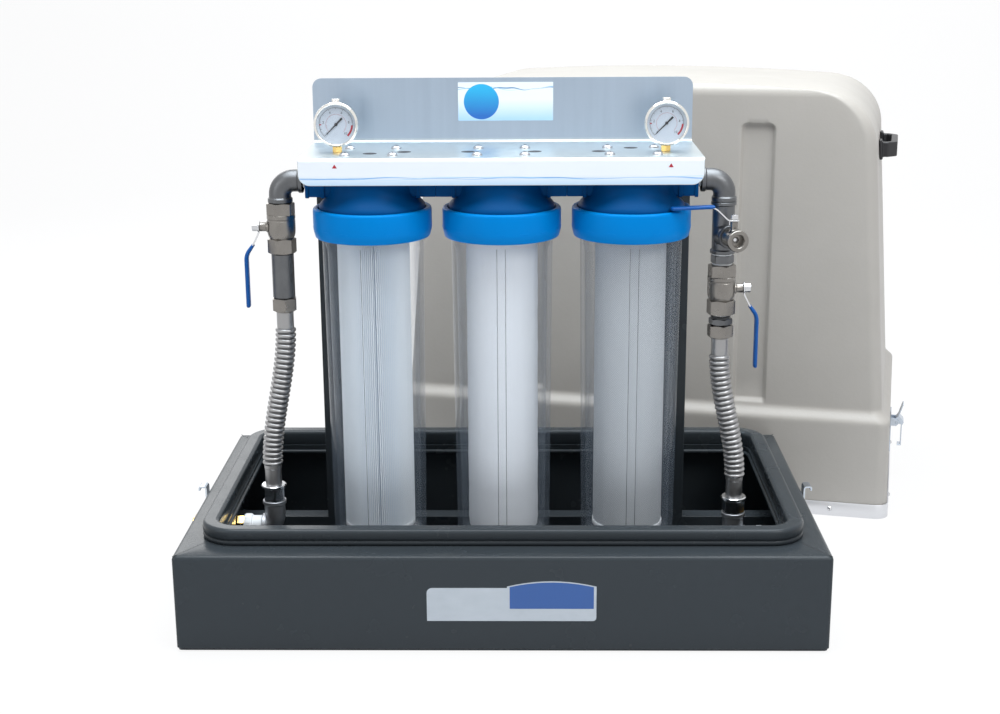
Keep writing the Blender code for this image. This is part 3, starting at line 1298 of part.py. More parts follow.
def build_tap(place):
    """Built with the tee's axis at the origin, its body along -Y and its lever along -X."""
    start = TEE_BRANCH_LENGTH + GAP
    end = start + TAP_LENGTH
    centre = Vector((0, TAP_BALL_SETBACK - end, 0))
    barrel = cylinder((0, -start, 0), (0, -end, 0), TAP_RADIUS)
    spigot = cylinder((0, TAP_SPIGOT_LENGTH - start, 0), centre, TEE_BRANCH_BORE - GAP, SMALL_SIDES)
    mouth = cylinder((0, TAP_MOUTH_LENGTH - end, 0), (0, -end, 0), TAP_MOUTH_RADIUS)
    boss = cylinder(centre, centre + Z_AXIS * TAP_BOSS_REACH, TAP_BOSS_RADIUS)
    body = joined(barrel, spigot, mouth, boss)
    through = cylinder((0, OVERRUN - start + TAP_SPIGOT_LENGTH, 0), (0, -end, 0), TAP_BORE, SMALL_SIDES)
    outlet = cylinder((0, TAP_MOUTH_DEPTH - end, 0), (0, -end - OVERRUN, 0), TAP_MOUTH_BORE)
    chamber = Y_AXIS * (TAP_BALL_RADIUS + 2 * GAP)
    cavity = cylinder(centre - chamber, centre + chamber, TAP_BALL_RADIUS + BALL_SEAT_GAP)
    hole = cylinder(centre, centre + Z_AXIS * 2 * TAP_BOSS_REACH, TAP_STEM_RADIUS + GAP, SMALL_SIDES)
    body = cut(body, through, outlet, cavity, hole)
    part("tap_body", moved(body, place), NICKEL)

    lever_low = TAP_BOSS_REACH + GAP
    lever_high = lever_low + TAP_LEVER_THICKNESS
    nut_low = lever_high + GAP
    nut_high = nut_low + TAP_NUT_LENGTH
    ball = sphere(centre, TAP_BALL_RADIUS)
    stem = cylinder(centre, centre + Z_AXIS * (nut_low + TAP_NUT_LENGTH / 2), TAP_STEM_RADIUS, SMALL_SIDES)
    top_nut = cylinder(centre + Z_AXIS * nut_low, centre + Z_AXIS * nut_high, TAP_NUT_RADIUS, 6)
    through = cylinder((0, 0, 0), centre * 2, TAP_BORE, SMALL_SIDES)
    ball = cut(joined(ball, stem, top_nut), through)
    pivot = place @ centre
    part("tap_ball", moved(ball, place), NICKEL, pivot)

    flat = (lever_low + lever_high) / 2
    high = flat + TAP_LEVER_RISE
    route = [
        (0, flat),
        (-TAP_LEVER_FLAT, flat),
        (-TAP_LEVER_FLAT - TAP_LEVER_RISE_RUN, high),
        (-TAP_LEVER_REACH, high),
    ]
    low_y, high_y = centre.y - TAP_LEVER_WIDTH / 2, centre.y + TAP_LEVER_WIDTH / 2
    strip = slab(ribbon(route, TAP_LEVER_THICKNESS), low_y, high_y, "Y")
    head = cylinder(centre + Z_AXIS * lever_low, centre + Z_AXIS * lever_high, TAP_LEVER_HEAD)
    hole = cylinder(centre, centre + Z_AXIS * (nut_high + OVERRUN), TAP_STEM_RADIUS + GAP, SMALL_SIDES)
    part("tap_lever", moved(cut(joined(strip, head), hole), place), STAINLESS, pivot)

    tip = (route[-1][0] - TAP_GRIP_THICKNESS / 3, high)
    low_y, high_y = centre.y - TAP_GRIP_WIDTH / 2, centre.y + TAP_GRIP_WIDTH / 2
    sleeve = slab(ribbon(route[2:3] + [tip], TAP_GRIP_THICKNESS), low_y, high_y, "Y")
    pocket = slab(
        ribbon(route[1:3] + [(route[-1][0] - GAP, high)], TAP_LEVER_THICKNESS + 2 * GAP),
        centre.y - TAP_LEVER_WIDTH / 2 - GAP,
        centre.y + TAP_LEVER_WIDTH / 2 + GAP,
        "Y",
    )
    part("tap_grip", moved(cut(sleeve, pocket), place), BLUE_SLEEVE, pivot)


def build_wall_unions():
    wall_inner = BASE_WIDTH / 2 - BASE_SHEET
    wall_outer = BASE_WIDTH / 2
    coupling_start = LOW_LINE_X + LOW_ELBOW_REACH + GAP
    ring_start = coupling_start + COUPLING_LENGTH
    ring_end = ring_start + COUPLING_RING_LENGTH
    pipe_start, pipe_end = ring_start + GAP, wall_outer + UNION_REACH
    gland_start = ring_end + GAP
    lock_end = wall_inner - GAP
    flange_start = wall_outer + GAP
    for name, side, foot in (("inlet", -1, INLET_HOSE_FOOT), ("outlet", 1, OUTLET_HOSE_FOOT)):
        height = foot - LOW_ELBOW_DROP

        def along(start, end, radius, sides=PIPE_SIDES):
            return cylinder((side * start, FILTER_Y, height), (side * end, FILTER_Y, height), radius, sides)

        coupling = joined(
            along(coupling_start, ring_end, COUPLING_RADIUS),
            along(ring_start, ring_end, COUPLING_RING_RADIUS),
        )
        bore = along(coupling_start - OVERRUN, ring_end, COUPLING_BORE_RADIUS, SMALL_SIDES)
        socket = along(ring_start, ring_end + OVERRUN, UNION_RADIUS + GAP)
        part(f"{name}_wall_coupling", cut(coupling, bore, socket), WHITE_PLASTIC)
        union = joined(
            along(pipe_start, pipe_end, UNION_RADIUS),
            along(flange_start, flange_start + UNION_FLANGE_THICKNESS, UNION_FLANGE_RADIUS),
            along(gland_start, gland_start + UNION_HEX_LENGTH, UNION_HEX_RADIUS, 6),
            along(lock_end - LOCKNUT_THICKNESS, lock_end, UNION_HEX_RADIUS, 6),
        )
        flow = along(pipe_start - OVERRUN, pipe_end + OVERRUN, UNION_BORE_RADIUS, SMALL_SIDES)
        part(f"{name}_wall_union", cut(union, flow), BRASS)


def cover_inset(height, draft):
    """How far a wall of the cover stands in from its foot, for one draft over its height."""
    if height <= COVER_SKIRT_HEIGHT:
        return COVER_SKIRT_DRAFT * height / COVER_SKIRT_HEIGHT
    step_top = COVER_SKIRT_HEIGHT + COVER_STEP_HEIGHT
    return COVER_STEP_INSET + draft * (height - step_top) / (COVER_SHOULDER - step_top)


def face_inset(height, wall):
    """The same for the front and rear, with the rounded edge under the top."""
    start = COVER_HEIGHT - COVER_EDGE_RADIUS
    inset = cover_inset(min(height, start), COVER_FACE_DRAFT) + wall
    radius = COVER_EDGE_RADIUS - wall
    over = min(max(height - start, 0), radius)
    return inset + radius - math.sqrt(radius**2 - over**2)


def cover_outline(end, face):
    half_width, half_depth = COVER_WIDTH / 2 - end, COVER_DEPTH / 2 - face
    return rounded_rectangle(
        -half_width, -half_depth, half_width, half_depth, COVER_CORNER_RADIUS, COVER_CORNER_STEPS
    )


def fallen(along, height):
    """A height on the cover, once its top falls a little from the front to the rear."""
    above = max(height - COVER_SHOULDER, 0) / (COVER_HEIGHT - COVER_SHOULDER)
    behind = (along + COVER_DEPTH / 2) / COVER_DEPTH
    return height - COVER_TOP_FALL * above * behind


def lofted(levels):
    """A solid through the cover's outlines at (end inset, face inset, height) levels."""
    shape = bmesh.new()
    rings = []
    for end, face, height in levels:
        outline = cover_outline(end, face)
        rings.append([shape.verts.new((u, v, fallen(v, height))) for u, v in outline])
    for ring, above in zip(rings, rings[1:]):
        for index, corner in enumerate(ring):
            behind = index - 1
            shape.faces.new((ring[behind], corner, above[index], above[behind]))
    shape.faces.new(rings[0][::-1])
    shape.faces.new(rings[-1])
    return from_bmesh(shape)


def cover_levels(wall, foot):
    """The skirt, the step, the drafted walls, the rounded ends and the crowned top."""
    skirt, step = COVER_SKIRT_DRAFT + wall, COVER_STEP_INSET + wall
    levels = [
        (wall, wall, foot),
        (skirt, skirt, COVER_SKIRT_HEIGHT),
        (step, step, COVER_SKIRT_HEIGHT + COVER_STEP_HEIGHT),
    ]
    reach = cover_inset(COVER_SHOULDER, COVER_END_DRAFT) + COVER_END_RADIUS
    radius = COVER_END_RADIUS - wall
    for count in range(COVER_TOP_STEPS + 1):
        turn = math.radians(90) * count / COVER_TOP_STEPS
        height = COVER_SHOULDER + radius * math.sin(turn)
        levels.append((reach - radius * math.cos(turn), face_inset(height, wall), height))
    spread = COVER_WIDTH / 2 - reach
    for share in COVER_CROWN_SHARES:
        rise = COVER_CROWN * (1 - share**2) / (1 - COVER_CROWN_SHARES[-1] ** 2)
        height = COVER_SHOULDER + radius + rise
        levels.append((reach + spread * (1 - share), face_inset(height, wall), height))
    return levels


def channel(x, side, extra):
    """A cutter for one upright channel in the cover's front or rear."""
    low, high = CHANNEL_LOW - extra, CHANNEL_TOP + extra
    outside = side * (COVER_DEPTH / 2 + OVERRUN)
    deep_low = side * (COVER_DEPTH / 2 - cover_inset(CHANNEL_LOW, COVER_FACE_DRAFT) - CHANNEL_DEPTH - extra)
    deep_high = side * (COVER_DEPTH / 2 - cover_inset(CHANNEL_TOP, COVER_FACE_DRAFT) - CHANNEL_DEPTH - extra)
    outline = [(outside, low), (deep_low, low), (deep_high, high), (outside, high)]
    half = CHANNEL_WIDTH / 2 + extra
    return slab(outline, x - half, x + half, "X")


def strip_screw_places():
    """(x, y, outward angle in degrees) of each screw round the cover's foot."""
    half_width, half_depth = COVER_WIDTH / 2, COVER_DEPTH / 2
    across, along = half_width - STRIP_SCREW_FROM_END, half_depth - STRIP_SCREW_FROM_END
    places = [(side * across, -half_depth, -90) for side in (-1, 1)]
    places += [(side * across, half_depth, 90) for side in (-1, 1)]
    places += [(-half_width, side * along, 180) for side in (-1, 1)]
    places += [(half_width, side * along, 0) for side in (-1, 1)]
    return places


def build_cover():
    """Built round its own middle, then turned and set behind the tray."""
    turn = Matrix.Rotation(math.radians(COVER_YAW_DEGREES), 4, "Z")
    corner = turn @ Vector((COVER_WIDTH / 2, -COVER_DEPTH / 2, 0))
    place = Matrix.Translation(Vector((COVER_CORNER_X, COVER_CORNER_Y, 0)) - corner) @ turn
    outer = lofted(cover_levels(0, 0))
    inner = lofted(cover_levels(COVER_WALL, -OVERRUN))
    grooves = [(side * (COVER_WIDTH / 2 - CHANNEL_FROM_END), face) for side in (-1, 1) for face in (-1, 1)]
    outer = cut(outer, *[channel(x, face, 0) for x, face in grooves])
    inner = cut(inner, *[channel(x, face, COVER_WALL) for x, face in grooves])
    shell = cut(outer, inner)

    band = ring_of(
        [
            (-GAP, 0),
            (-GAP - STRIP_THICKNESS, 0),
            (-GAP - STRIP_THICKNESS, STRIP_HEIGHT),
            (-GAP, STRIP_HEIGHT),
        ],
        strip_outline,
    )
    top = STRIP_SCREW_DOME
    profile = [
        (0, top),
        (STRIP_SCREW_RADIUS, -STRIP_THICKNESS / 2),
        (STRIP_SCREW_SHANK, -STRIP_THICKNESS / 2),
        (STRIP_SCREW_SHANK, -STRIP_SCREW_LENGTH),
        (0, -STRIP_SCREW_LENGTH),
    ]
    screws, drills = [], []
    reach = STRIP_SCREW_LENGTH + OVERRUN
    for x, y, degrees in strip_screw_places():
        out = Matrix.Rotation(math.radians(degrees), 4, "Z")
        seat = Matrix.Translation((x, y, STRIP_HEIGHT / 2)) @ out
        seat = seat @ Matrix.Translation((GAP + STRIP_THICKNESS, 0, 0))
        seat = seat @ Matrix.Rotation(math.radians(90), 4, "Y")
        screws.append(turned(profile, SCREW_SIDES, seat))
        drills.append(
            moved(cylinder((0, 0, -reach), (0, 0, reach), STRIP_SCREW_SHANK + 2 * GAP, SCREW_SIDES), seat)
        )
    part("cover_shell", moved(cut(shell, *drills), place), BEIGE)
    part("cover_edge_strip", moved(joined(band, *screws), place), ALUMINIUM)

    build_handles(place)
    build_latches(place)


def strip_outline(inset):
    half_width, half_depth = COVER_WIDTH / 2 - inset, COVER_DEPTH / 2 - inset
    radius = COVER_CORNER_RADIUS - inset
    return rounded_rectangle(-half_width, -half_depth, half_width, half_depth, radius, COVER_CORNER_STEPS)


def wall_strip(low, high, inner, outer):
    """An outline in X and Z along the cover's end wall, between two distances out from it."""
    at_low = COVER_WIDTH / 2 - cover_inset(low, COVER_END_DRAFT)
    at_high = COVER_WIDTH / 2 - cover_inset(high, COVER_END_DRAFT)
    return [(at_low + inner, low), (at_low + outer, low), (at_high + outer, high), (at_high + inner, high)]


def both_ends(piece, place):
    """The right end's piece, and the same turned half round for the left end."""
    other = copied(piece, place @ Matrix.Rotation(math.radians(180), 4, "Z"))
    return moved(piece, place), other


def build_handles(place):
    low, high = HANDLE_HEIGHT - HANDLE_TALL / 2, HANDLE_HEIGHT + HANDLE_TALL / 2
    wall = COVER_WIDTH / 2 - cover_inset(HANDLE_HEIGHT, COVER_END_DRAFT)
    half = HANDLE_LENGTH / 2
    reach = wall + HANDLE_REACH - HANDLE_BAR / 2
    knee = reach - HANDLE_BAR
    route = [
        (wall - HANDLE_BAR, half - HANDLE_BAR),
        (knee, half - HANDLE_BAR),
        (reach, half - 2 * HANDLE_BAR),
    ]
    route += [(u, -v) for u, v in route[::-1]]
    grip = slab(ribbon(route, HANDLE_BAR), low, high, "Z")
    foot_low, foot_high = HANDLE_HEIGHT - HANDLE_FOOT_TALL / 2, HANDLE_HEIGHT + HANDLE_FOOT_TALL / 2
    feet = []
    for side in (-1, 1):
        middle = side * (half - HANDLE_BAR)
        feet.append(
            slab(
                wall_strip(foot_low, foot_high, -HANDLE_BAR, HANDLE_FOOT_THICKNESS),
                middle - HANDLE_FOOT_LENGTH / 2,
                middle + HANDLE_FOOT_LENGTH / 2,
                "Y",
            )
        )
    strip = wall_strip(foot_low - OVERRUN, foot_high + OVERRUN, -HANDLE_REACH, GAP)
    behind = slab(strip, -HANDLE_LENGTH, HANDLE_LENGTH, "Y")
    handle = cut(joined(grip, *feet), behind)
    for name, piece in zip(("right", "left"), both_ends(handle, place)):
        part(f"{name}_cover_handle", piece, BLACK_PLASTIC)


def build_latches(place):
    """A plate with two ears, a lever on a pin between them, and a hook hung from the lever."""
    plate_half = LATCH_WIDTH / 2
    ear_out = plate_half - 2 * GAP
    ear_in = ear_out - LATCH_SHEET
    wall = COVER_WIDTH / 2 - cover_inset(LATCH_PIVOT_HEIGHT, COVER_END_DRAFT)
    pin = Vector((wall + LATCH_PIVOT_OUT, 0, LATCH_PIVOT_HEIGHT))
    hook_pin = pin + X_AXIS * LATCH_HOOK_PIN_OUT
    plate = slab(
        wall_strip(LATCH_PLATE_LOW, LATCH_PLATE_HIGH, GAP, GAP + LATCH_SHEET), -plate_half, plate_half, "Y"
    )
    ears = []
    for side in (-1, 1):
        root = wall + GAP + LATCH_SHEET / 2
        outline = [
            (root, pin.z - LATCH_EAR_RADIUS),
            (pin.x, pin.z - LATCH_EAR_RADIUS),
            (pin.x + LATCH_EAR_RADIUS, pin.z),
            (pin.x, pin.z + LATCH_EAR_RADIUS),
            (root, pin.z + LATCH_EAR_RADIUS),
        ]
        low, high = sorted((side * ear_in, side * ear_out))
        ears.append(slab(outline, low, high, "Y"))
    hole = cylinder(
        pin - Y_AXIS * LATCH_WIDTH, pin + Y_AXIS * LATCH_WIDTH, LATCH_PIN_RADIUS + GAP, SMALL_SIDES
    )
    plates = cut(joined(plate, *ears), hole)
    for name, piece in zip(("right", "left"), both_ends(plates, place)):
        part(f"{name}_latch_plate", piece, ZINC)

    inside = ear_in - GAP
    cheek_in = inside - LATCH_SHEET
    thick = LATCH_LEVER_SHEET
    knee_x, knee_z = pin.x + LATCH_LEVER_LEAN / 4, pin.z + LATCH_LEVER_LENGTH / 3
    tip_x, tip_z = pin.x + LATCH_LEVER_LEAN, pin.z + LATCH_LEVER_LENGTH
    outline = [
        (pin.x - LATCH_BARREL_RADIUS, pin.z - LATCH_BARREL_RADIUS / 2),
        (hook_pin.x + LATCH_BARREL_RADIUS / 2, pin.z - LATCH_BARREL_RADIUS / 2 - thick),
        (hook_pin.x + LATCH_EYE_RADIUS, pin.z),
        (hook_pin.x + LATCH_BARREL_RADIUS / 2, pin.z + LATCH_BARREL_RADIUS + thick / 2),
        (knee_x + thick, knee_z),
        (tip_x + thick, tip_z),
        (tip_x, tip_z),
        (knee_x, knee_z),
        (pin.x - LATCH_BARREL_RADIUS, pin.z + LATCH_BARREL_RADIUS),
    ]
    body = slab(outline, -inside, inside, "Y")
    slot = box(
        (hook_pin.x - LATCH_EYE_RADIUS - 3 * GAP, -cheek_in, pin.z - LATCH_LEVER_LENGTH),
        (hook_pin.x + LATCH_LEVER_LENGTH, cheek_in, pin.z + LATCH_EYE_RADIUS + 3 * GAP),
    )
    axle = cylinder(pin - Y_AXIS * ear_out, pin + Y_AXIS * ear_out, LATCH_PIN_RADIUS, SMALL_SIDES)
    hook_axle = cylinder(
        hook_pin - Y_AXIS * (inside - LATCH_SHEET / 2),
        hook_pin + Y_AXIS * (inside - LATCH_SHEET / 2),
        LATCH_PIN_RADIUS,
        SMALL_SIDES,
    )
    lever = joined(cut(body, slot), axle, hook_axle)

    eye_half = cheek_in - GAP
    eye = cylinder(hook_pin - Y_AXIS * eye_half, hook_pin + Y_AXIS * eye_half, LATCH_EYE_RADIUS, SMALL_SIDES)
    toe = hook_pin.z - LATCH_HOOK_DROP
    shank = slab(
        ribbon(
            [
                (hook_pin.x, hook_pin.z - LATCH_PIN_RADIUS - 2 * GAP),
                (hook_pin.x, toe),
                (hook_pin.x - LATCH_HOOK_TOE, toe),
            ],
            LATCH_SHEET,
        ),
        -eye_half,
        eye_half,
        "Y",
    )
    eye_bore = cylinder(
        hook_pin - Y_AXIS * LATCH_WIDTH, hook_pin + Y_AXIS * LATCH_WIDTH, LATCH_PIN_RADIUS + GAP, SMALL_SIDES
    )
    hook = cut(joined(eye, shank), eye_bore)

    right_lever, left_lever = both_ends(lever, place)
    right_hook, left_hook = both_ends(hook, place)
    half_turn = Matrix.Rotation(math.radians(180), 4, "Z")
    part("right_latch_lever", right_lever, ZINC, place @ pin)
    part("left_latch_lever", left_lever, ZINC, place @ half_turn @ pin)
    part("right_latch_hook", right_hook, ZINC, place @ hook_pin)
    part("left_latch_hook", left_hook, ZINC, place @ half_turn @ hook_pin)


build_base()
build_rim()
build_upright_frame()
build_bracket()
build_heads()
build_filters()
build_gauges()
build_elbows()
build_lines()
build_wall_unions()
build_cover()
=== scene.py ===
"""The finishes and the fine forms of the rainwater filter system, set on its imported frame."""

import math

import bmesh
import bpy
from mathutils import Matrix, Vector


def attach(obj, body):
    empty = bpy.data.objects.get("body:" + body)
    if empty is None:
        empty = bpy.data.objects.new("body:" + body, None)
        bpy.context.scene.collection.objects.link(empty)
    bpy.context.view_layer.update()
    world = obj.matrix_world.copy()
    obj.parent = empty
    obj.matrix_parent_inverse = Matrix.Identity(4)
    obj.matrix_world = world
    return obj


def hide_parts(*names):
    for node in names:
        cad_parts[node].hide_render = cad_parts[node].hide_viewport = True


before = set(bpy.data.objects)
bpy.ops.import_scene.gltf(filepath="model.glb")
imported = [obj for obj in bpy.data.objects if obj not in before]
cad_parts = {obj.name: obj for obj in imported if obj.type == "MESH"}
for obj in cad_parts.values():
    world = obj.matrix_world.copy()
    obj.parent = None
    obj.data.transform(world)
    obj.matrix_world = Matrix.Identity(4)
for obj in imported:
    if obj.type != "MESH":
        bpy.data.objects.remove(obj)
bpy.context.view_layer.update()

Y_AXIS, FORWARD = Vector((0, 1, 0)), Vector((0, -1, 0))
FIXED = "tray_and_lines"
ROW_Y = -0.077
FILTERS = (("first", -0.194), ("second", 0.0), ("third", 0.194))
SIDES = (("inlet", -1), ("outlet", 1))
LINE_X, LOW_LINE_X = 0.332, 0.361
PORT_X, PORT_Z, ELBOW_FOOT = 0.2965, 0.666, 0.6335
# Heights above the floor
VALVE_TOP = {"inlet": 0.6332, "outlet": 0.5369}
HOSE_TOP = {"inlet": 0.4874, "outlet": 0.4437}
HOSE_FOOT = {"inlet": 0.161, "outlet": 0.141}
LOW_ELBOW_DROP = 0.043
BRANCH_Z, BRANCH_DEGREES = 0.5835, 13


# Shader arithmetic


class Value:
    """A socket that can be added, scaled and mixed like a number."""

    def __init__(self, finish, socket):
        self.finish, self.socket = finish, socket

    def math(self, operation, *others):
        return self.finish.node("ShaderNodeMath", (self, *others), operation=operation)

    def __add__(self, other):
        return self.math("ADD", other)

    def __sub__(self, other):
        return self.math("SUBTRACT", other)

    def __rsub__(self, other):
        return (self * -1) + other

    def __mul__(self, other):
        return self.math("MULTIPLY", other)

    def __truediv__(self, other):
        return self.math("DIVIDE", other)

    __radd__, __rmul__ = __add__, __mul__

    def size(self):
        return self.math("ABSOLUTE")

    def wave(self):
        return self.math("SINE")

    def above(self, edge, soft=0.0001):
        """From 0 to 1 as the value passes the edge."""
        return ((self - edge) / soft + 0.5).math("MINIMUM", 1).math("MAXIMUM", 0)

    def between(self, low, high):
        return self.above(low) * (1 - self.above(high))


def distance(along, across):
    return (along * along + across * across).math("SQRT")


class Finish:
    """A material with one Principled shader. What is fixed sits on the shader's own sockets."""

    def __init__(self, name, colour, roughness, metallic=0.0, **fixed):
        self.material = bpy.data.materials.new(name)
        self.material.use_nodes = True
        self.tree = self.material.node_tree
        self.shader = self.tree.nodes["Principled BSDF"]
        self.shader.inputs["Base Color"].default_value = (*colour, 1)
        self.shader.inputs["Roughness"].default_value = roughness
        self.shader.inputs["Metallic"].default_value = metallic
        for key, value in fixed.items():
            self.shader.inputs[key.replace("_", " ")].default_value = value

    def node(self, kind, inputs=(), output=0, **settings):
        made = self.tree.nodes.new(kind)
        for key, value in settings.items():
            setattr(made, key, value)
        pairs = inputs.items() if isinstance(inputs, dict) else enumerate(inputs)
        for key, value in pairs:
            if isinstance(value, Value):
                self.tree.links.new(value.socket, made.inputs[key])
            else:
                made.inputs[key].default_value = value
        return Value(self, made.outputs[output])

    def feed(self, name, value):
        self.tree.links.new(value.socket, self.shader.inputs[name])
        return self

    def light_path(self, kind):
        return self.node("ShaderNodeLightPath", output=f"Is {kind} Ray")

    def place(self):
        return self.node("ShaderNodeTexCoord", output=3)

    def axes(self):
        return [self.node("ShaderNodeSeparateXYZ", (self.place(),), output=k) for k in range(3)]

    def noise(self, scale, detail=3.0, rough=0.6):
        """Noise of the given scales per metre along X, Y and Z."""
        scaled = self.node(
            "ShaderNodeVectorMath", (self.place(), Vector(scale)), operation="MULTIPLY"
        )
        return self.node(
            "ShaderNodeTexNoise",
            {"Vector": scaled, "Scale": 1.0, "Detail": detail, "Roughness": rough},
        )

    def mix(self, share, first, second):
        ends = [end if isinstance(end, Value) else (*end, 1) for end in (first, second)]
        return self.node(
            "ShaderNodeMix", {0: share, 6: ends[0], 7: ends[1]}, output=2, data_type="RGBA"
        )

    def join(self, share, first, second):
        """Gives the surface a share of the second shader and the rest of the first."""
        mixed = self.tree.nodes.new("ShaderNodeMixShader")
        for k, output in enumerate((share.socket, first, second)):
            self.tree.links.new(output, mixed.inputs[k])
        surface = self.tree.nodes["Material Output"].inputs["Surface"]
        self.tree.links.new(mixed.outputs[0], surface)
        return self

    def vary(self, noise, low, high):
        return self.feed("Roughness", noise * (high - low) + low)

    def bump(self, height, distance, strength=1.0):
        raised = self.node(
            "ShaderNodeBump", {"Strength": strength, "Distance": distance, "Height": height}
        )
        return self.feed("Normal", raised)


def paint():
    finish = Finish("dark_grey_paint", (0.035, 0.042, 0.048), 0.28, Specular_IOR_Level=0.18)
    finish.vary(finish.noise((18, 18, 18)), 0.20, 0.32)
    return finish.bump(finish.noise((420, 420, 420), 2), 0.00006).material


def plain_paint(name, colour, roughness):
    finish = Finish(name, colour, roughness)
    finish.vary(finish.noise((60, 60, 60)), roughness - 0.06, roughness + 0.06)
    return finish.material


def stainless():
    finish = Finish("brushed_stainless", (0.60, 0.63, 0.68), 0.3, 1.0)
    streaks = finish.noise((70, 70, 3.0), 4, 0.7)
    broad = finish.noise((9, 9, 0.6), 1)
    # Painted reflection and light: the upright plate above the shelf gets a darker, bluer steel and
    # the shelf and lip a paler one, though all are one sheet.
    plate = finish.mix(streaks * 0.5 + broad * 0.5, (0.33, 0.41, 0.51), (0.45, 0.53, 0.63))
    shelf = finish.mix(streaks, (0.54, 0.60, 0.62), (0.64, 0.70, 0.72))
    finish.feed("Base Color", finish.mix(finish.axes()[2].above(0.7115, 0.005), shelf, plate))
    finish.vary(streaks, 0.24, 0.44)
    return finish.bump(finish.noise((900, 900, 12), 2), 0.00004).material


def cast_zinc(name, light, dark, low, high, grain=0.00025):
    """Galvanised or plated castings, a little grainy and unevenly dull."""
    finish = Finish(name, light, low, 1.0)
    patches = finish.noise((45, 45, 30), 4, 0.65)
    finish.feed("Base Color", finish.mix(patches, dark, light))
    finish.vary(finish.noise((70, 70, 70), 3), low, high)
    return finish.bump(finish.noise((500, 500, 500), 3), grain, 0.6).material


def plated(name, colour, roughness):
    finish = Finish(name, colour, roughness, 1.0)
    finish.vary(finish.noise((120, 120, 120), 3), roughness * 0.7, roughness * 1.4)
    return finish.bump(finish.noise((260, 260, 260), 2), 0.00004).material


def plastic(name, colour, low, high, grain=0.00003, **fixed):
    finish = Finish(name, colour, low, **fixed)
    finish.vary(finish.noise((35, 35, 35), 3), low, high)
    return finish.bump(finish.noise((700, 700, 700), 2), grain).material


def moulding():
    """The cover's moulded skin: a fine orange peel, rubbed a little paler in places."""
    finish = Finish("beige_moulding", (0.40, 0.372, 0.33), 0.42)
    worn = finish.noise((5, 5, 7), 4, 0.6)
    finish.feed("Base Color", finish.mix(worn, (0.375, 0.35, 0.318), (0.435, 0.406, 0.37)))
    finish.vary(finish.noise((14, 14, 14), 3), 0.34, 0.50)
    return finish.bump(finish.noise((160, 160, 160), 3), 0.00022).material


def clear(name, colour, faint, edge, roughness):
    """Thin clear plastic: a haze that thickens where the wall is seen edge on."""
    finish = Finish(name, colour, roughness, IOR=1.9)
    streaks = finish.noise((90, 90, 2.5), 3)
    finish.vary(streaks, roughness * 0.6, roughness * 1.5)
    facing = finish.node("ShaderNodeLayerWeight", output=1)
    haze = facing.math("POWER", 1.6) * (edge - faint) + faint
    lit = 1 - finish.light_path("Shadow") * 0.8
    haze = haze * (streaks * 0.8 + 0.6) * lit
    through = finish.node("ShaderNodeBsdfTransparent")
    return finish.join(haze, through.socket, finish.shader.outputs[0]).material


def paper():
    """Pleated paper, with painted shade: greyer down in the folds."""
    finish = Finish("white_pleated_paper", (0.84, 0.87, 0.91), 0.85)
    x, y, _ = finish.axes()
    # Painted shade: darker and bluer inside the pleats' crest radius, paler on the crests.
    deep = distance(x - FILTERS[0][1], y - ROW_Y).above(0.0512, 0.0042)
    finish.feed("Base Color", finish.mix(deep, (0.78, 0.85, 0.94), (0.93, 0.97, 1.0)))
    return finish.bump(finish.noise((300, 300, 60), 3), 0.0001).material


def spun():
    finish = Finish("white_spun_fibre", (0.86, 0.87, 0.88), 0.9)
    fibres = finish.noise((700, 700, 260), 4, 0.7)
    finish.feed("Base Color", finish.mix(fibres, (0.76, 0.79, 0.84), (0.88, 0.91, 0.94)))
    return finish.bump(fibres, 0.0006, 0.8).material


def net():
    """A knitted sleeve of small diamonds over pale felt."""
    finish = Finish("white_net_sleeve", (0.62, 0.65, 0.68), 0.85)
    x, y, z = finish.axes()
    turn = (y - ROW_Y).math("ARCTAN2", x - FILTERS[2][1])
    first = (turn * 60 + z * 1150).wave().size()
    second = (turn * 60 - z * 1150).wave().size()
    hole = first.math("MINIMUM", second).above(0.35, 0.3)
    finish.feed("Base Color", finish.mix(hole, (0.78, 0.80, 0.82), (0.36, 0.39, 0.42)))
    return finish.bump(hole, 0.0004, 0.5).material


LABEL_SOFT = 0.0006


def label(name, low, high, middle, lines, blue_below, disc=None):
    """White film, pale blue towards its foot, with water lines and perhaps a blue disc."""
    finish = Finish(name, (0.80, 0.84, 0.88), 0.35, Coat_Weight=0.4)
    x, _, z = finish.axes()
    depth = (z - low) / (high - low)
    colour = finish.mix(depth.above(blue_below, 0.5), (0.40, 0.62, 0.82), (0.82, 0.86, 0.90))
    for offset, pace, swing, thick, tint in lines:
        line = (x * pace + offset).wave() * swing
        ripple = (x * pace * 2.3 + offset * 3).wave() * (swing * 0.45)
        gap = (z - (line + ripple + middle)).size()
        swell = ((x * pace * 0.7 + offset).wave() * 0.5 + 0.6) * thick
        colour = finish.mix(1 - (gap - swell).above(0, LABEL_SOFT), colour, tint)
    if disc:
        centre_x, centre_z, radius = disc
        up = z - centre_z
        blue = finish.mix(up.above(0, radius * 1.6), (0.004, 0.12, 0.46), (0.01, 0.42, 0.74))
        outside = distance(x - centre_x, up).above(radius, LABEL_SOFT)
        colour = finish.mix(outside, blue, colour)
    return finish.feed("Base Color", colour).material


ARCH_X, ARCH_FALL = 0.073, 1.95


def decal():
    """The front label's place: a silver plate with a blue field under an arch, and no words."""
    finish = Finish("front_label", (0.46, 0.49, 0.53), 0.3, Coat_Weight=0.5)
    x, _, z = finish.axes()
    along = x - ARCH_X
    arch = along * along * -ARCH_FALL + 0.1106
    inside = x.between(0.0117, 0.1343) * (z - 0.0692).above(0) * (1 - (z - arch).above(0))
    sheen = finish.noise((30, 1, 60), 2)
    silver = finish.mix(sheen, (0.40, 0.44, 0.48), (0.50, 0.54, 0.58))
    return finish.feed("Base Color", finish.mix(inside, silver, (0.004, 0.075, 0.30))).material


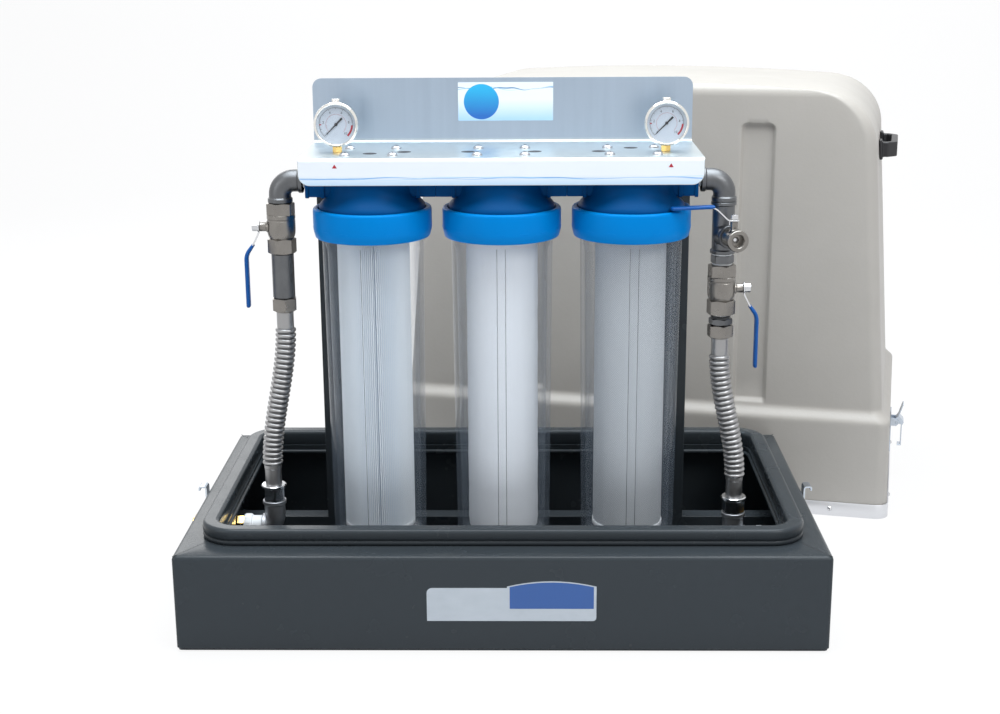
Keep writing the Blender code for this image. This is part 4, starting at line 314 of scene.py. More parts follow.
PAINT = paint()
SEAM = plain_paint("paint_seam", (0.012, 0.014, 0.016), 0.5)
STEEL = stainless()
GALVANISED = cast_zinc("galvanised_iron", (0.18, 0.185, 0.195), (0.095, 0.10, 0.105), 0.28, 0.50)
DARK_ZINC = cast_zinc("dull_galvanised_iron", (0.44, 0.46, 0.49), (0.26, 0.27, 0.29), 0.32, 0.55)
NICKEL = cast_zinc("nickel_plate", (0.30, 0.285, 0.265), (0.18, 0.17, 0.16), 0.20, 0.38, 0.00012)
BRIGHT = plated("bright_plate", (0.62, 0.63, 0.65), 0.16)
HOSE_STEEL = plated("hose_steel", (0.34, 0.34, 0.345), 0.34)
LEVER_STEEL = plated("lever_plate", (0.72, 0.73, 0.75), 0.22)
SCREW = plated("screw_plate", (0.42, 0.44, 0.47), 0.30)
BRASS = plated("yellow_brass", (0.80, 0.55, 0.20), 0.24)
ZINC = plated("bright_zinc", (0.56, 0.62, 0.70), 0.22)
MILL = plated("mill_aluminium", (0.70, 0.71, 0.74), 0.36)
POLISHED = plated("polished_steel", (0.80, 0.79, 0.76), 0.10)
# The heads' own blue, with painted shade: darkened further for the shadow the shelf casts on them.
HEAD_BLUE_AND_SHADE = plastic("blue_head_plastic", (0.0003, 0.064, 0.21), 0.38, 0.5, Specular_IOR_Level=0.05)
RING_BLUE = plastic("blue_ring_plastic", (0.0003, 0.210, 0.60), 0.30, 0.42, Specular_IOR_Level=0.05)
VINYL = plastic("blue_vinyl", (0.002, 0.080, 0.31), 0.32, 0.45, Specular_IOR_Level=0.25)
BLACK = plastic("black_plastic", (0.012, 0.012, 0.014), 0.35, 0.5, 0.00008)
WHITE = plastic("white_plastic", (0.80, 0.82, 0.84), 0.35, 0.5)
RUBBER = plastic("black_rubber", (0.015, 0.015, 0.015), 0.55, 0.7)
TAPE = plastic("thread_tape", (0.85, 0.86, 0.86), 0.5, 0.7, 0.0001)
BEIGE = moulding()
BOWL = clear("clear_bowl_plastic", (0.22, 0.26, 0.31), 0.03, 0.44, 0.10)
# A dark haze for the painted reflection lines down the bowls.
PAINTED_REFLECTION = clear("bowl_painted_reflection", (0.10, 0.11, 0.13), 0.55, 0.7, 0.2)
PANE = clear("clear_glass", (0.55, 0.58, 0.62), 0.03, 0.25, 0.05)
PAPER, SPUN, NET = paper(), spun(), net()
CAP = plastic("cartridge_cap", (0.82, 0.84, 0.87), 0.4, 0.55)
DIAL = plain_paint("dial_white", (0.58, 0.64, 0.72), 0.4)
INK = plain_paint("dial_black", (0.012, 0.012, 0.015), 0.45)
RED = plain_paint("dial_red", (0.42, 0.01, 0.03), 0.45)


# Forms


def arc(u, v, radius, start, end, steps):
    turns = [math.radians(start + (end - start) * k / steps) for k in range(steps + 1)]
    return [(u + radius * math.cos(t), v + radius * math.sin(t)) for t in turns]


def ball(radius, steps):
    turns = [math.pi * k / steps for k in range(steps + 1)]
    return [(radius * math.sin(t), radius * math.cos(t)) for t in turns]


def round_plate(foot, top, radius, edge, inner=0.0):
    """The section of a round plate with its two corners cut."""
    return [
        (inner, foot),
        (radius - edge, foot),
        (radius, foot + edge),
        (radius, top - edge),
        (radius - edge, top),
        (inner, top),
    ]


def rounded_rectangle(u0, v0, u1, v1, radii, steps):
    """Counter-clockwise, with the lower corners' radius first and then the upper corners'."""
    low, high = radii if isinstance(radii, tuple) else (radii, radii)
    outline = arc(u0 + low, v0 + low, low, 180, 270, steps)
    outline += arc(u1 - low, v0 + low, low, 270, 360, steps)
    outline += arc(u1 - high, v1 - high, high, 0, 90, steps)
    return outline + arc(u0 + high, v1 - high, high, 90, 180, steps)


def rounded_route(points, radius, steps=5):
    """A route with each corner turned into an arc."""
    points = [Vector(p) for p in points]
    route = [points[0]]
    for before, here, after in zip(points, points[1:], points[2:]):
        back, on = (before - here), (after - here)
        reach = min(radius, back.length * 0.45, on.length * 0.45)
        first, last = here + back.normalized() * reach, here + on.normalized() * reach
        for k in range(steps + 1):
            t = k / steps
            route.append(first * (1 - t) ** 2 + here * 2 * t * (1 - t) + last * t**2)
    return route + [points[-1]]


def ribbon(route, thickness):
    """The outline of a strip that follows a flat route."""
    sides = [], []
    for k, here in enumerate(route):
        before, after = route[max(k - 1, 0)], route[min(k + 1, len(route) - 1)]
        on = (Vector(after) - Vector(before)).normalized()
        across = Vector((-on.y, on.x)) * thickness / 2
        sides[0].append(Vector(here) + across)
        sides[1].append(Vector(here) - across)
    return [tuple(p) for p in sides[0] + sides[1][::-1]]


class Shape:
    """Faces gathered from simple forms, each with its finish."""

    def __init__(self, skin, place=None):
        self.points, self.faces, self.marks, self.skins = [], [], [], [skin]
        self.place = place or Matrix()
        self.skin = 0

    def use(self, skin):
        if skin not in self.skins:
            self.skins.append(skin)
        self.skin = self.skins.index(skin)
        return self

    def add(self, points, faces, place=None):
        base = len(self.points)
        matrix = self.place @ (place or Matrix())
        self.points += [matrix @ Vector(p) for p in points]
        self.faces += [[base + k for k in face] for face in faces]
        self.marks += [self.skin] * len(faces)
        return self

    def loft(self, rings, place=None, closed=False, caps=True):
        """Skins rings that hold equal numbers of points."""
        count, size = len(rings), len(rings[0])
        faces = []
        for k in range(count if closed else count - 1):
            low, high = k * size, (k + 1) % count * size
            faces += [(low + i, low + (i + 1) % size, high + (i + 1) % size, high + i)
                      for i in range(size)]
        if caps and not closed:
            faces += [tuple(range(size))[::-1], tuple(range((count - 1) * size, count * size))]
        return self.add([p for ring in rings for p in ring], faces, place)

    def lathe(self, profile, place=None, sides=48, closed=False):
        """Turns (radius, height) points about Z."""
        turns = [math.tau * k / sides for k in range(sides)]
        rings = [[(r * math.cos(t), r * math.sin(t), z) for t in turns] for r, z in profile]
        return self.loft(rings, place, closed, caps=False)

    def hexagon(self, low, high, radius, place=None, sides=72):
        """A nut's outside, with the round chamfer that cuts its corners."""
        flat = radius * math.cos(math.pi / 6)
        face = flat * 0.96
        turns = [math.tau * k / sides for k in range(sides)]
        reach = [flat / math.cos((t + math.pi / 6) % (math.pi / 3) - math.pi / 6) for t in turns]
        reach = [min(r, radius * 0.985) for r in reach]
        drop = [(r - face) * 0.5 for r in reach]

        def ring(radii, heights):
            return [(r * math.cos(t), r * math.sin(t), z) for t, r, z in zip(turns, radii, heights)]

        rings = [
            ring([0] * sides, [low] * sides),
            ring([face] * sides, [low] * sides),
            ring(reach, [low + d for d in drop]),
            ring(reach, [high - d for d in drop]),
            ring([face] * sides, [high] * sides),
            ring([0] * sides, [high] * sides),
        ]
        return self.loft(rings, place, caps=False)

    def slab(self, outline, low, high, axis="Z", place=None):
        """An outline drawn out along an axis. Its own axes are the two that are left, in order."""
        where = {
            "Z": lambda u, v, w: (u, v, w),
            "Y": lambda u, v, w: (u, w, v),
            "X": lambda u, v, w: (w, u, v),
        }
        rings = [[where[axis](u, v, w) for u, v in outline] for w in (low, high)]
        return self.loft(rings, place)

    def box(self, low, high, place):
        (x0, y0, z0), (x1, y1, z1) = low, high
        return self.slab([(x0, y0), (x1, y0), (x1, y1), (x0, y1)], z0, z1, "Z", place)

    def tube(self, route, radii, sides):
        """A round section along a route. A section turns as little as it can."""
        route = [Vector(p) for p in route]
        radii = radii if isinstance(radii, (list, tuple)) else [radii] * len(route)
        up, rings = None, []
        for k, here in enumerate(route):
            on = (route[min(k + 1, len(route) - 1)] - route[max(k - 1, 0)]).normalized()
            if up is None:
                up = on.orthogonal().normalized()
            up = (up - on * up.dot(on)).normalized()
            side = on.cross(up)
            turns = [math.tau * i / sides for i in range(sides)]
            rings.append([here + (up * math.cos(t) + side * math.sin(t)) * radii[k] for t in turns])
        return self.loft(rings)

    def finish(self, name, body, slot, *nodes, bevel=0.0, angle=40):
        """Makes the object, which rides its body and stands for its nodes."""
        mesh = bpy.data.meshes.new(name)
        mesh.from_pydata([tuple(p) for p in self.points], [], self.faces)
        for skin in self.skins:
            mesh.materials.append(skin)
        mesh.polygons.foreach_set("material_index", self.marks)
        shape = bmesh.new()
        shape.from_mesh(mesh)
        bmesh.ops.remove_doubles(shape, verts=shape.verts, dist=1e-6)
        bmesh.ops.dissolve_degenerate(shape, edges=shape.edges, dist=1e-7)
        bmesh.ops.recalc_face_normals(shape, faces=shape.faces)
        shape.to_mesh(mesh)
        shape.free()
        mesh.shade_smooth()
        mesh.set_sharp_from_angle(angle=math.radians(angle))
        piece = bpy.data.objects.new(name, mesh)
        bpy.context.scene.collection.objects.link(piece)
        if bevel:
            soften(piece, bevel, angle)
        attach(piece, body)
        if nodes:
            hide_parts(*nodes)
        return piece


def soften(piece, width, angle=35):
    """Rounds the hard edges and keeps the faces between them flat."""
    bevel = piece.modifiers.new("edges", "BEVEL")
    bevel.width, bevel.segments = width, 2
    bevel.limit_method, bevel.angle_limit = "ANGLE", math.radians(angle)
    bevel.harden_normals = True


def dress(node, skin, width):
    """Keeps a node of flat faces, with a finish and rounded edges."""
    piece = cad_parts[node]
    piece.data.materials.clear()
    piece.data.materials.append(skin)
    weld = piece.modifiers.new("weld", "WELD")
    weld.merge_threshold = 0.00001
    faces = piece.modifiers.new("faces", "DECIMATE")
    faces.decimate_type, faces.angle_limit = "DISSOLVE", math.radians(0.5)
    soften(piece, width)


def at(x, z=0.0, y=ROW_Y):
    return Matrix.Translation((x, y, z))


def spot(x, z):
    """A point in the row's plane."""
    return Vector((x, ROW_Y, z))


def turned(degrees, axis="Z"):
    return Matrix.Rotation(math.radians(degrees), 4, axis)


def towards(start, direction):
    """Takes +Z to a direction, from a start."""
    aim = Vector(direction).to_track_quat("Z", "Y").to_matrix().to_4x4()
    return Matrix.Translation(start) @ aim


def outward(side, x, z):
    """Takes +Z away from the middle along X, on the row of filters."""
    return at(x, z) @ towards(Vector(), Vector((side, 0, 0)))


def facing(x, z):
    """Takes +Z to the front and +Y up, at the row."""
    return at(x, z) @ turned(90, "X")


# The tray and its rim


BASE = Vector((0.480, 0.290, 0.150))
OPENING = Vector((0.425, 0.227, 0.030))
OPENING_SHIFT = 0.004
SHEET = 0.002


def opening_ring(offset, z, steps=10):
    reach_x, reach_y, radius = OPENING.x + offset, OPENING.y + offset, OPENING.z + offset
    outline = rounded_rectangle(
        -reach_x, OPENING_SHIFT - reach_y, reach_x, OPENING_SHIFT + reach_y, radius, steps
    )
    return [(x, y, z) for x, y in outline]


def build_tray():
    shape = Shape(PAINT)

    fold = 0.006

    def wall_ring(inset, z):
        reach_x, reach_y = BASE.x - inset, BASE.y - inset
        outline = rounded_rectangle(-reach_x, -reach_y, reach_x, reach_y, fold, 10)
        return [(x, y, z) for x, y in outline]

    rings = [wall_ring(fold, 0), wall_ring(0, fold), wall_ring(0, BASE.z - fold)]
    for k in (1, 2, 3):
        turn = math.radians(30 * k)
        rings.append(wall_ring(fold * (1 - math.cos(turn)), BASE.z - fold * (1 - math.sin(turn))))
    rings += [opening_ring(0.006, BASE.z), opening_ring(-0.002, BASE.z - 0.0005)]
    for k in range(7):
        turn = math.radians(30 * k)
        height = BASE.z - 0.0125 + 0.0035 * math.cos(turn)
        rings.append(opening_ring(-0.0005 - 0.0035 * math.sin(turn), height))
    rings += [opening_ring(0.006, BASE.z - 0.016), opening_ring(0.006, BASE.z - SHEET)]
    rings += [wall_ring(SHEET, BASE.z - SHEET), wall_ring(SHEET, SHEET)]
    shape.loft(rings, caps=False)
    for floor in (wall_ring(fold, 0), wall_ring(SHEET, SHEET)):
        shape.add(floor, [tuple(range(len(floor)))])
    for side in (-1, 1):
        near, stand, far = side * 0.48025, side * 0.48625, side * 0.49725
        corners = [(near, 0.104), (near, 0.122), (stand, 0.128), (stand, 0.1515), (far, 0.1515),
                   (far, 0.1455)]
        route = rounded_route(corners, 0.004)
        shape.use(ZINC).slab(ribbon(route, 0.0025), 0.003, 0.025, "Y")
    shape.use(SEAM)
    for across in (-1, 1):
        for along in (-1, 1):
            start = Vector((across * (BASE.x - 0.002), along * (BASE.y - 0.002), BASE.z))
            end = Vector((across * 0.442, along * 0.239 + OPENING_SHIFT, BASE.z))
            on = (end - start).normalized()
            side = Vector((-on.y, on.x, 0)) * 0.0005
            shape.slab([(start - side).xy, (start + side).xy, (end + side).xy, (end - side).xy],
                       BASE.z - 0.0005, BASE.z + 0.00012)
    shape.finish("tray", FIXED, "dark_grey_paint", "base_box", angle=35)


def build_rims():
    low, high = 0.1503, 0.175
    section = [(0.0238, low), (0.0250, low + 0.0008), (0.0254, 0.1530), (0.0254, 0.1556),
               (0.0246, 0.1568), (0.0236, 0.1574)]
    section += [(0.0236, 0.1586), (0.0248, 0.1592)] + arc(0.0226, 0.1618, 0.0030, -30, 0, 2)
    section += arc(0.0196, 0.1690, 0.0060, 0, 84, 8)
    section += [(0.0190, high), (0.0065, high)]
    section += arc(0.0060, high - 0.0060, 0.0060, 96, 180, 6)
    section += [(0, low + 0.002), (0.001, low)]
    for name, side in (("rim_front_half", -1), ("rim_rear_half", 1)):
        rings = []
        for offset, z in section:
            middle = OPENING_SHIFT + side * 0.00015
            loop = [p for p in opening_ring(offset, z, 12) if (p[1] - middle) * side > 0]
            reach = OPENING.x + offset
            loop = [(-reach, middle, z)] + sorted(loop, key=lambda p: p[0]) + [(reach, middle, z)]
            rings.append(loop)
        size, count = len(rings[0]), len(rings)
        faces = []
        for k in range(count):
            low_row, high_row = k * size, (k + 1) % count * size
            faces += [(low_row + i, low_row + i + 1, high_row + i + 1, high_row + i)
                      for i in range(size - 1)]
        faces += [tuple(k * size for k in range(count)),
                  tuple(k * size + size - 1 for k in range(count))]
        shape = Shape(PAINT).add([p for ring in rings for p in ring], faces)
        shape.finish(name + "_form", FIXED, "dark_grey_paint", name, angle=50)


# The bracket and what stands on it


CARD_FOOT, CARD_TOP = 0.7400, 0.7990
SHELF_TOP = 0.708
PLATE_TOP, PLATE_Y = 0.806, 0.044
FRONT_Y, LIP_FOOT = -0.148, 0.6685
HALF_BRACKET = 0.294


def dome_screw(shape, x, y):
    head = [(0, 0.0050), (0.0025, 0.0048), (0.0050, 0.0041), (0.0068, 0.0029), (0.0078, 0.0012),
            (0.0080, 0)]
    shape.use(SCREW).lathe(head, at(x, SHELF_TOP, y), 28)
    # The cross recess is two black bars on the head: painted shade in the recess.
    for turn in (20, 110):
        cross = at(x, SHELF_TOP + 0.0046, y) @ turned(turn)
        shape.use(INK).box((-0.0026, -0.0005, 0), (0.0026, 0.0005, 0.0005), cross)


def build_bracket():
    """The plate, shelf and lip as one folded sheet, its face rounded at the corners."""
    sheet, bend = 0.002, 0.003
    back = PLATE_Y + sheet
    outer = bend + sheet
    front_side = [(PLATE_Y, PLATE_TOP)] + arc(PLATE_Y - bend, SHELF_TOP + bend, bend, 0, -90, 5)
    front_side += arc(FRONT_Y + outer, SHELF_TOP - outer, outer, 90, 180, 5) + [(FRONT_Y, LIP_FOOT)]
    back_side = [(back, PLATE_TOP)] + arc(back - outer, SHELF_TOP - sheet + outer, outer, 0, -90, 5)
    back_side += arc(FRONT_Y + sheet + bend, SHELF_TOP - sheet - bend, bend, 90, 180, 5)
    back_side += [(FRONT_Y + sheet, LIP_FOOT)]

    def trim(z):
        """How far the face reaches from the middle at a height."""
        for centre, radius, sign in ((PLATE_TOP - 0.014, 0.014, 1), (LIP_FOOT + 0.017, 0.017, -1)):
            rise = (z - centre) * sign
            if rise > 0:
                return HALF_BRACKET - radius + math.sqrt(max(radius**2 - rise**2, 0))
        return HALF_BRACKET

    def dense(side):
        points = []
        (y, z) = side[0]
        points += [(y, z - 0.014 * (1 - math.cos(math.radians(11.25 * k)))) for k in range(9)]
        points += side[1:-1]
        (y, z) = side[-1]
        return points + [(y, z + 0.017 * (1 - math.sin(math.radians(11.25 * k)))) for k in range(9)]

    front, rear = dense(front_side), dense(back_side)
    loop = front + rear[::-1]
    rings = [[(side * trim(z), y, z) for y, z in loop] for side in (-1, 1)]
    shape = Shape(STEEL).loft(rings, caps=False)
    size = len(loop)
    for base in (0, size):
        shape.faces += [
            [base + k, base + k + 1, base + size - 2 - k, base + size - 1 - k]
            for k in range(size // 2 - 1)
        ]
        shape.marks += [0] * (size // 2 - 1)
    low, high = LIP_FOOT + 0.0008, SHELF_TOP - 0.005
    film = rounded_rectangle(
        -HALF_BRACKET + 0.0008, low, HALF_BRACKET - 0.0008, high, (0.0162, 0.0), 8
    )
    shape.use(LIP_LABEL).slab(film, FRONT_Y - 0.00025, FRONT_Y + 0.0005, "Y")
    over = arc(FRONT_Y + outer, high, outer + 0.00025, 180, 118, 5)
    over += arc(FRONT_Y + outer, high, outer - 0.0004, 118, 180, 5)
    shape.slab(over, -HALF_BRACKET + 0.0008, HALF_BRACKET - 0.0008, "X")
    for side in (-1, 1):
        x = side * 0.2430 + 0.0027
        mark = [(x - 0.0036, 0.6940), (x + 0.0036, 0.6940), (x, 0.6997)]
        shape.use(RED).slab(mark, FRONT_Y - 0.0004, FRONT_Y, "Y")
    card = rounded_rectangle(-0.0685, CARD_FOOT, 0.0785, CARD_TOP, 0.0008, 2)
    shape.use(CARD_LABEL).slab(card, PLATE_Y - 0.00025, PLATE_Y + 0.0005, "Y")
    for x, y in SCREWS:
        dome_screw(shape, x, y)
    # Each open hole is a thin black disc on the shelf: painted shade where the sheet is open.
    for x, y in OPEN_HOLES:
        shape.use(INK).lathe([(0, 0.0001), (0.0098, 0.0001), (0.0105, 0)], at(x, SHELF_TOP, y), 28)
    shape.finish("filter_bracket_form", FIXED, "brushed_stainless", "filter_bracket", angle=32)


SCREWS = [
    (x + side * 0.035, ROW_Y + row * 0.0375)
    for _, x in FILTERS
    for side in (-1, 1)
    for row in (-1, 1)
]
OPEN_HOLES = [(x + side * 0.0495, ROW_Y) for _, x in FILTERS for side in (-1, 1)][1:-1]
OPEN_HOLES += [(-0.194, ROW_Y - 0.017), (0.194, ROW_Y + 0.037)]


def numeral(shape, text, size, x, y, z):
    """A number on a dial, lying in the dial's plane."""
    words = bpy.data.curves.new("numeral", "FONT")
    words.body, words.size, words.resolution_u = text, size, 2
    words.align_x, words.align_y = "CENTER", "CENTER"
    holder = bpy.data.objects.new("numeral", words)
    bpy.context.scene.collection.objects.link(holder)
    bpy.context.view_layer.update()
    drawn = holder.evaluated_get(bpy.context.evaluated_depsgraph_get()).to_mesh()
    points = [(p.co.x + x, p.co.y + y, z) for p in drawn.vertices]
    shape.add(points, [tuple(face.vertices) for face in drawn.polygons])
    bpy.data.objects.remove(holder)
    bpy.data.curves.remove(words)


GAUGE_X, GAUGE_Z = 0.2435, 0.750
DIAL_FRONT, PRINT_LIFT = 0.008, 0.0003
DIAL_ZERO, DIAL_SWEEP, DIAL_MARKS = 225, 270, 50


def dial_strip(shape, radius, width, start, end, lift, steps=40):
    """An arc on the dial, between two clockwise angles from the needle's zero."""
    turns = [math.radians(DIAL_ZERO - start - (end - start) * k / steps) for k in range(steps + 1)]
    rows = [
        [(r * math.cos(t), r * math.sin(t), DIAL_FRONT + lift) for t in turns]
        for r in (radius - width, radius)
    ]
    faces = [(k, k + 1, steps + 2 + k, steps + 1 + k) for k in range(steps)]
    shape.add(rows[0] + rows[1], faces)


def build_gauges():
    for name, side in SIDES:
        x = side * GAUGE_X
        shape = Shape(POLISHED, facing(x, GAUGE_Z))
        profile = [(0.0290, DIAL_FRONT), (0.0290, 0.0128)] + arc(0.0305, 0.0125, 0.0015, 170, 60, 5)
        profile += arc(0.0310, 0.0105, 0.0020, 50, 0, 4) + [(0.0330, 0.0075), (0.0326, 0.0070)]
        profile += [(0.0314, 0.0066), (0.0314, -0.0105)]
        profile += arc(0.0279, -0.0105, 0.0035, 0, -90, 5) + [(0, -0.014)]
        shape.lathe(profile, sides=72)
        shape.use(DIAL).lathe([(0, DIAL_FRONT + 0.0001), (0.0290, DIAL_FRONT + 0.0001)], sides=64)
        shape.use(INK)
        for k in range(DIAL_MARKS + 1):
            turn = math.radians(DIAL_ZERO - DIAL_SWEEP * k / DIAL_MARKS)
            inner, half = (0.0225, 0.00022) if k % 5 == 0 else (0.0236, 0.00012)
            on = Vector((math.cos(turn), math.sin(turn), 0))
            off = Vector((-on.y, on.x, 0)) * half
            lift = Vector((0, 0, DIAL_FRONT + PRINT_LIFT))
            near, far = on * inner + lift, on * 0.0248 + lift
            shape.add([near - off, far - off, far + off, near + off], [(0, 1, 2, 3)])
        dial_strip(shape, 0.0250, 0.0004, 0, DIAL_SWEEP, PRINT_LIFT)
        for k in range(6):
            turn = math.radians(DIAL_ZERO - DIAL_SWEEP * k / 5)
            u, v = 0.0190 * math.cos(turn), 0.0190 * math.sin(turn)
            numeral(shape, str(2 * k), 0.0052, u, v, DIAL_FRONT + PRINT_LIFT)
        shape.use(RED)
        dial_strip(shape, 0.0152, 0.0003, 0, DIAL_SWEEP, PRINT_LIFT)
        dial_strip(shape, 0.0248, 0.0026, 228, DIAL_SWEEP, 0.0004)
        dial_strip(shape, 0.0248, 0.0030, 42, 46, 0.0004, 3)
        shape.place = at(x)
        shape.use(BRASS).hexagon(0.7083, 0.7168, 0.0078, sides=36)
        shape.lathe([(0.0062, 0.692), (0.0062, 0.7085)], sides=20)
        shape.lathe([(0.0050, 0.7166), (0.0050, 0.722)], sides=20)
        crown = [(0.0060, 0.7800), (0.0062, 0.7855)]
        crown += arc(0.0048, 0.7855, 0.0014, 0, 90, 3) + [(0, 0.7870)]
        shape.use(POLISHED).lathe(crown, sides=24)
        shape.finish(f"{name}_gauge", FIXED, "polished_steel", f"{name}_gauge_case", angle=38)

        pane = Shape(PANE, facing(x, GAUGE_Z))
        pane.lathe([(0, 0.0107), (0.0287, 0.0107), (0.0287, 0.0122), (0, 0.0122)], sides=64)
        pane.finish(f"{name}_gauge_pane", FIXED, "clear_glass", f"{name}_gauge_glass", angle=35)

        pointer = Shape(INK, facing(x, GAUGE_Z) @ turned(DIAL_ZERO - 360))
        blade = [(-0.0130, 0.0013), (-0.0122, 0.0016), (-0.002, 0.0011), (0.0225, 0.0003)]
        outline = blade + [(u, -v) for u, v in blade[::-1]]
        pointer.slab(outline, DIAL_FRONT + 0.0006, DIAL_FRONT + 0.0013)
        pointer.lathe([(0, 0.0099), (0.0017, 0.0099), (0.0024, 0.0094), (0.0024, 0.0083),
                       (0, 0.0083)], sides=24)
        pointer.finish(f"{name}_needle", f"{name}_needle", "black_needle", f"{name}_gauge_needle",
                       angle=35)


# The filters


def build_head(name, x):
    shape = Shape(HEAD_BLUE_AND_SHADE, at(x))
    dome = [(0, 0.7036), (0.0585, 0.7036), (0.0600, 0.7024), (0.0616, 0.6700), (0.0626, 0.6600),
            (0.0645, 0.6510)]
    dome += [(0.0680, 0.6440), (0.0725, 0.6385), (0.0765, 0.6345), (0.0790, 0.6310),
             (0.0797, 0.6280), (0.0797, 0.6000)]
    dome += [(0.0600, 0.6000), (0.0600, 0.6740), (0.0560, 0.6780), (0, 0.6780)]
    shape.lathe(dome, sides=72)
    for side in (-1, 1):
        turn = turned(0 if side > 0 else 180)
        end = 0.0968
        block = rounded_rectangle(-0.0250, 0.6440, 0.0250, 0.6880, 0.004, 4)
        shape.slab(block, 0.0450, end, "X", turn)
        collar = rounded_rectangle(-0.0268, 0.6425, 0.0268, 0.6895, 0.005, 4)
        shape.slab(collar, 0.0680, 0.0735, "X", turn)
        if abs(x + side * 0.097) > 0.25:
            shape.slab(collar, end - 0.0050, end, "X", turn)
    boss = [(0, 0.6780), (0.0265, 0.6780), (0.0265, 0.6315), (0.0124, 0.6315), (0.0124, 0.6160),
            (0.0116, 0.6152), (0, 0.6152)]
    shape.use(WHITE).lathe(boss, sides=40)
    shape.finish(f"{name}_head_form", FIXED, "blue_head_plastic", f"{name}_head", bevel=0.0008)


def build_ring(name, x):
    shape = Shape(RING_BLUE, at(x))
    profile = [(0.0813, 0.6262), (0.0820, 0.6270)] + arc(0.0852, 0.6235, 0.0036, 90, 12, 6)
    profile += [(0.0890, 0.6215), (0.0890, 0.5965), (0.0886, 0.5935), (0.0862, 0.5840),
                (0.0850, 0.5830)]
    profile += [(0.0786, 0.5830), (0.0779, 0.5836), (0.0779, 0.5895), (0.0813, 0.5900)]
    shape.lathe(profile, sides=96, closed=True)
    for k in range(16):
        turn = turned(22.5 * k)
        shape.slab([(0.0870, 0.5905), (0.0892, 0.5975), (0.0892, 0.5985), (0.0870, 0.5990)],
                   -0.0060, 0.0060, "Y", turn)
    shape.finish(f"{name}_ring_form", f"{name}_ring", "blue_ring_plastic", f"{name}_ring_nut")


# Offsets across each bowl of the dark lines painted down its front as reflections.
PAINTED_REFLECTIONS = {"first": (-0.012,), "second": (-0.0062, 0.0062), "third": (-0.0055, 0.0075)}


def build_bowl(name, x):
    body = f"{name}_bowl_set"
    shape = Shape(BOWL, at(x))
    profile = [(0, 0.1040), (0.0560, 0.1040)] + arc(0.0590, 0.1170, 0.0130, -85, -5, 8)
    profile += [(0.0723, 0.1300), (0.0765, 0.5904), (0.0797, 0.5906), (0.0797, 0.5957),
                (0.0755, 0.5957)]
    profile += [(0.0755, 0.5930), (0.0716, 0.5930), (0.0716, 0.5700), (0.0690, 0.5620),
                (0.0648, 0.1300)]
    profile += arc(0.0568, 0.1205, 0.0080, 0, -85, 6)
    profile += [(0.0560, 0.1120), (0.0270, 0.1120), (0.0262, 0.1128)]
    profile += [(0.0262, 0.1223), (0.0125, 0.1223), (0.0125, 0.1380), (0, 0.1385)]
    shape.lathe(profile, sides=96)
    # Painted reflections: thin dark lines down the bowl's front.
    shape.use(PAINTED_REFLECTION)
    for offset in PAINTED_REFLECTIONS[name]:
        ends = ((0.0724, 0.140), (0.0763, 0.575))
        mark = [(offset, -math.sqrt(r * r - offset * offset), z) for r, z in ends]
        shape.tube(mark, 0.0005, 6)
    shape.finish(f"{name}_bowl_form", body, "clear_bowl_plastic", f"{name}_bowl", angle=30)
    seal = Shape(RUBBER, at(x))
    seal.lathe([(0.0735 + 0.0016 * math.cos(t), 0.5943 + 0.0014 * math.sin(t)) for t in
                [math.tau * k / 12 for k in range(12)]], sides=72, closed=True)
    seal.finish(f"{name}_seal_form", body, "black_rubber", f"{name}_bowl_seal", angle=80)


CARTRIDGE_FOOT, CARTRIDGE_TOP, CARTRIDGE_BORE, CAP_DEPTH = 0.1230, 0.6310, 0.0135, 0.008
PLEATS, PLEAT_STEPS, CREASED_PLEAT = 110, (0.0033, 0.0016, -0.0030, 0.0016), 84


def capped(x):
    """A cartridge's two end caps, ready for what lies between them."""
    shape = Shape(CAP, at(x))
    for foot in (CARTRIDGE_FOOT, CARTRIDGE_TOP - CAP_DEPTH):
        cap = round_plate(foot, foot + CAP_DEPTH, 0.0545, 0.0006, CARTRIDGE_BORE)
        shape.lathe(cap, sides=72, closed=True)
    return shape


def build_cartridges():
    low, high = CARTRIDGE_FOOT, CARTRIDGE_TOP
    inside_caps = low + CAP_DEPTH, high - CAP_DEPTH
    pleated = capped(FILTERS[0][1])
    star = []
    for k in range(4 * PLEATS):
        turn = math.tau * k / (4 * PLEATS)
        star.append((0.0512 + PLEAT_STEPS[k % 4], turn + 0.0012 * math.sin(k * 1.7)))
    creased = 4 * CREASED_PLEAT + 1
    star[creased] = (0.0470, star[creased][1])
    rings = [[(r * math.cos(t), r * math.sin(t), z) for r, t in star] for z in inside_caps]
    pleated.use(PAPER).loft(rings, caps=False)
    pleated.finish("pleated_cartridge", "first_bowl_set", "white_pleated_paper", "first_cartridge",
                   angle=60)

    wound = Shape(SPUN, at(FILTERS[1][1]))
    levels = [low + (high - low) * k / 40 for k in range(41)]
    waves = [0.0003 * math.sin(k * 2.3) + 0.0002 * math.sin(k * 0.9) for k in range(41)]
    profile = [(CARTRIDGE_BORE, low), (0.0530, low)]
    profile += [(0.0540 + wave, z) for wave, z in zip(waves, levels)][1:-1]
    profile += [(0.0530, high), (CARTRIDGE_BORE, high)]
    wound.lathe(profile, sides=96, closed=True)
    wound.finish("spun_cartridge", "second_bowl_set", "white_spun_fibre", "second_cartridge",
                 angle=50)

    sleeve = capped(FILTERS[2][1])
    foot, top = inside_caps
    knit = [(0.0532, foot), (0.0534, low + 0.02), (0.0534, high - 0.02), (0.0532, top)]
    sleeve.use(NET).lathe(knit, sides=96)
    sleeve.finish("netted_cartridge", "third_bowl_set", "white_net_sleeve", "third_cartridge",
                  angle=50)


# The pipework


def bend_route(start, corner, end, bend):
    first, second = (start - corner).normalized(), (end - corner).normalized()
    centre = corner + (first + second) * bend
    turns = [math.radians(7.5 * k) for k in range(13)]
    return [centre - second * bend * math.cos(t) - first * bend * math.sin(t) for t in turns]


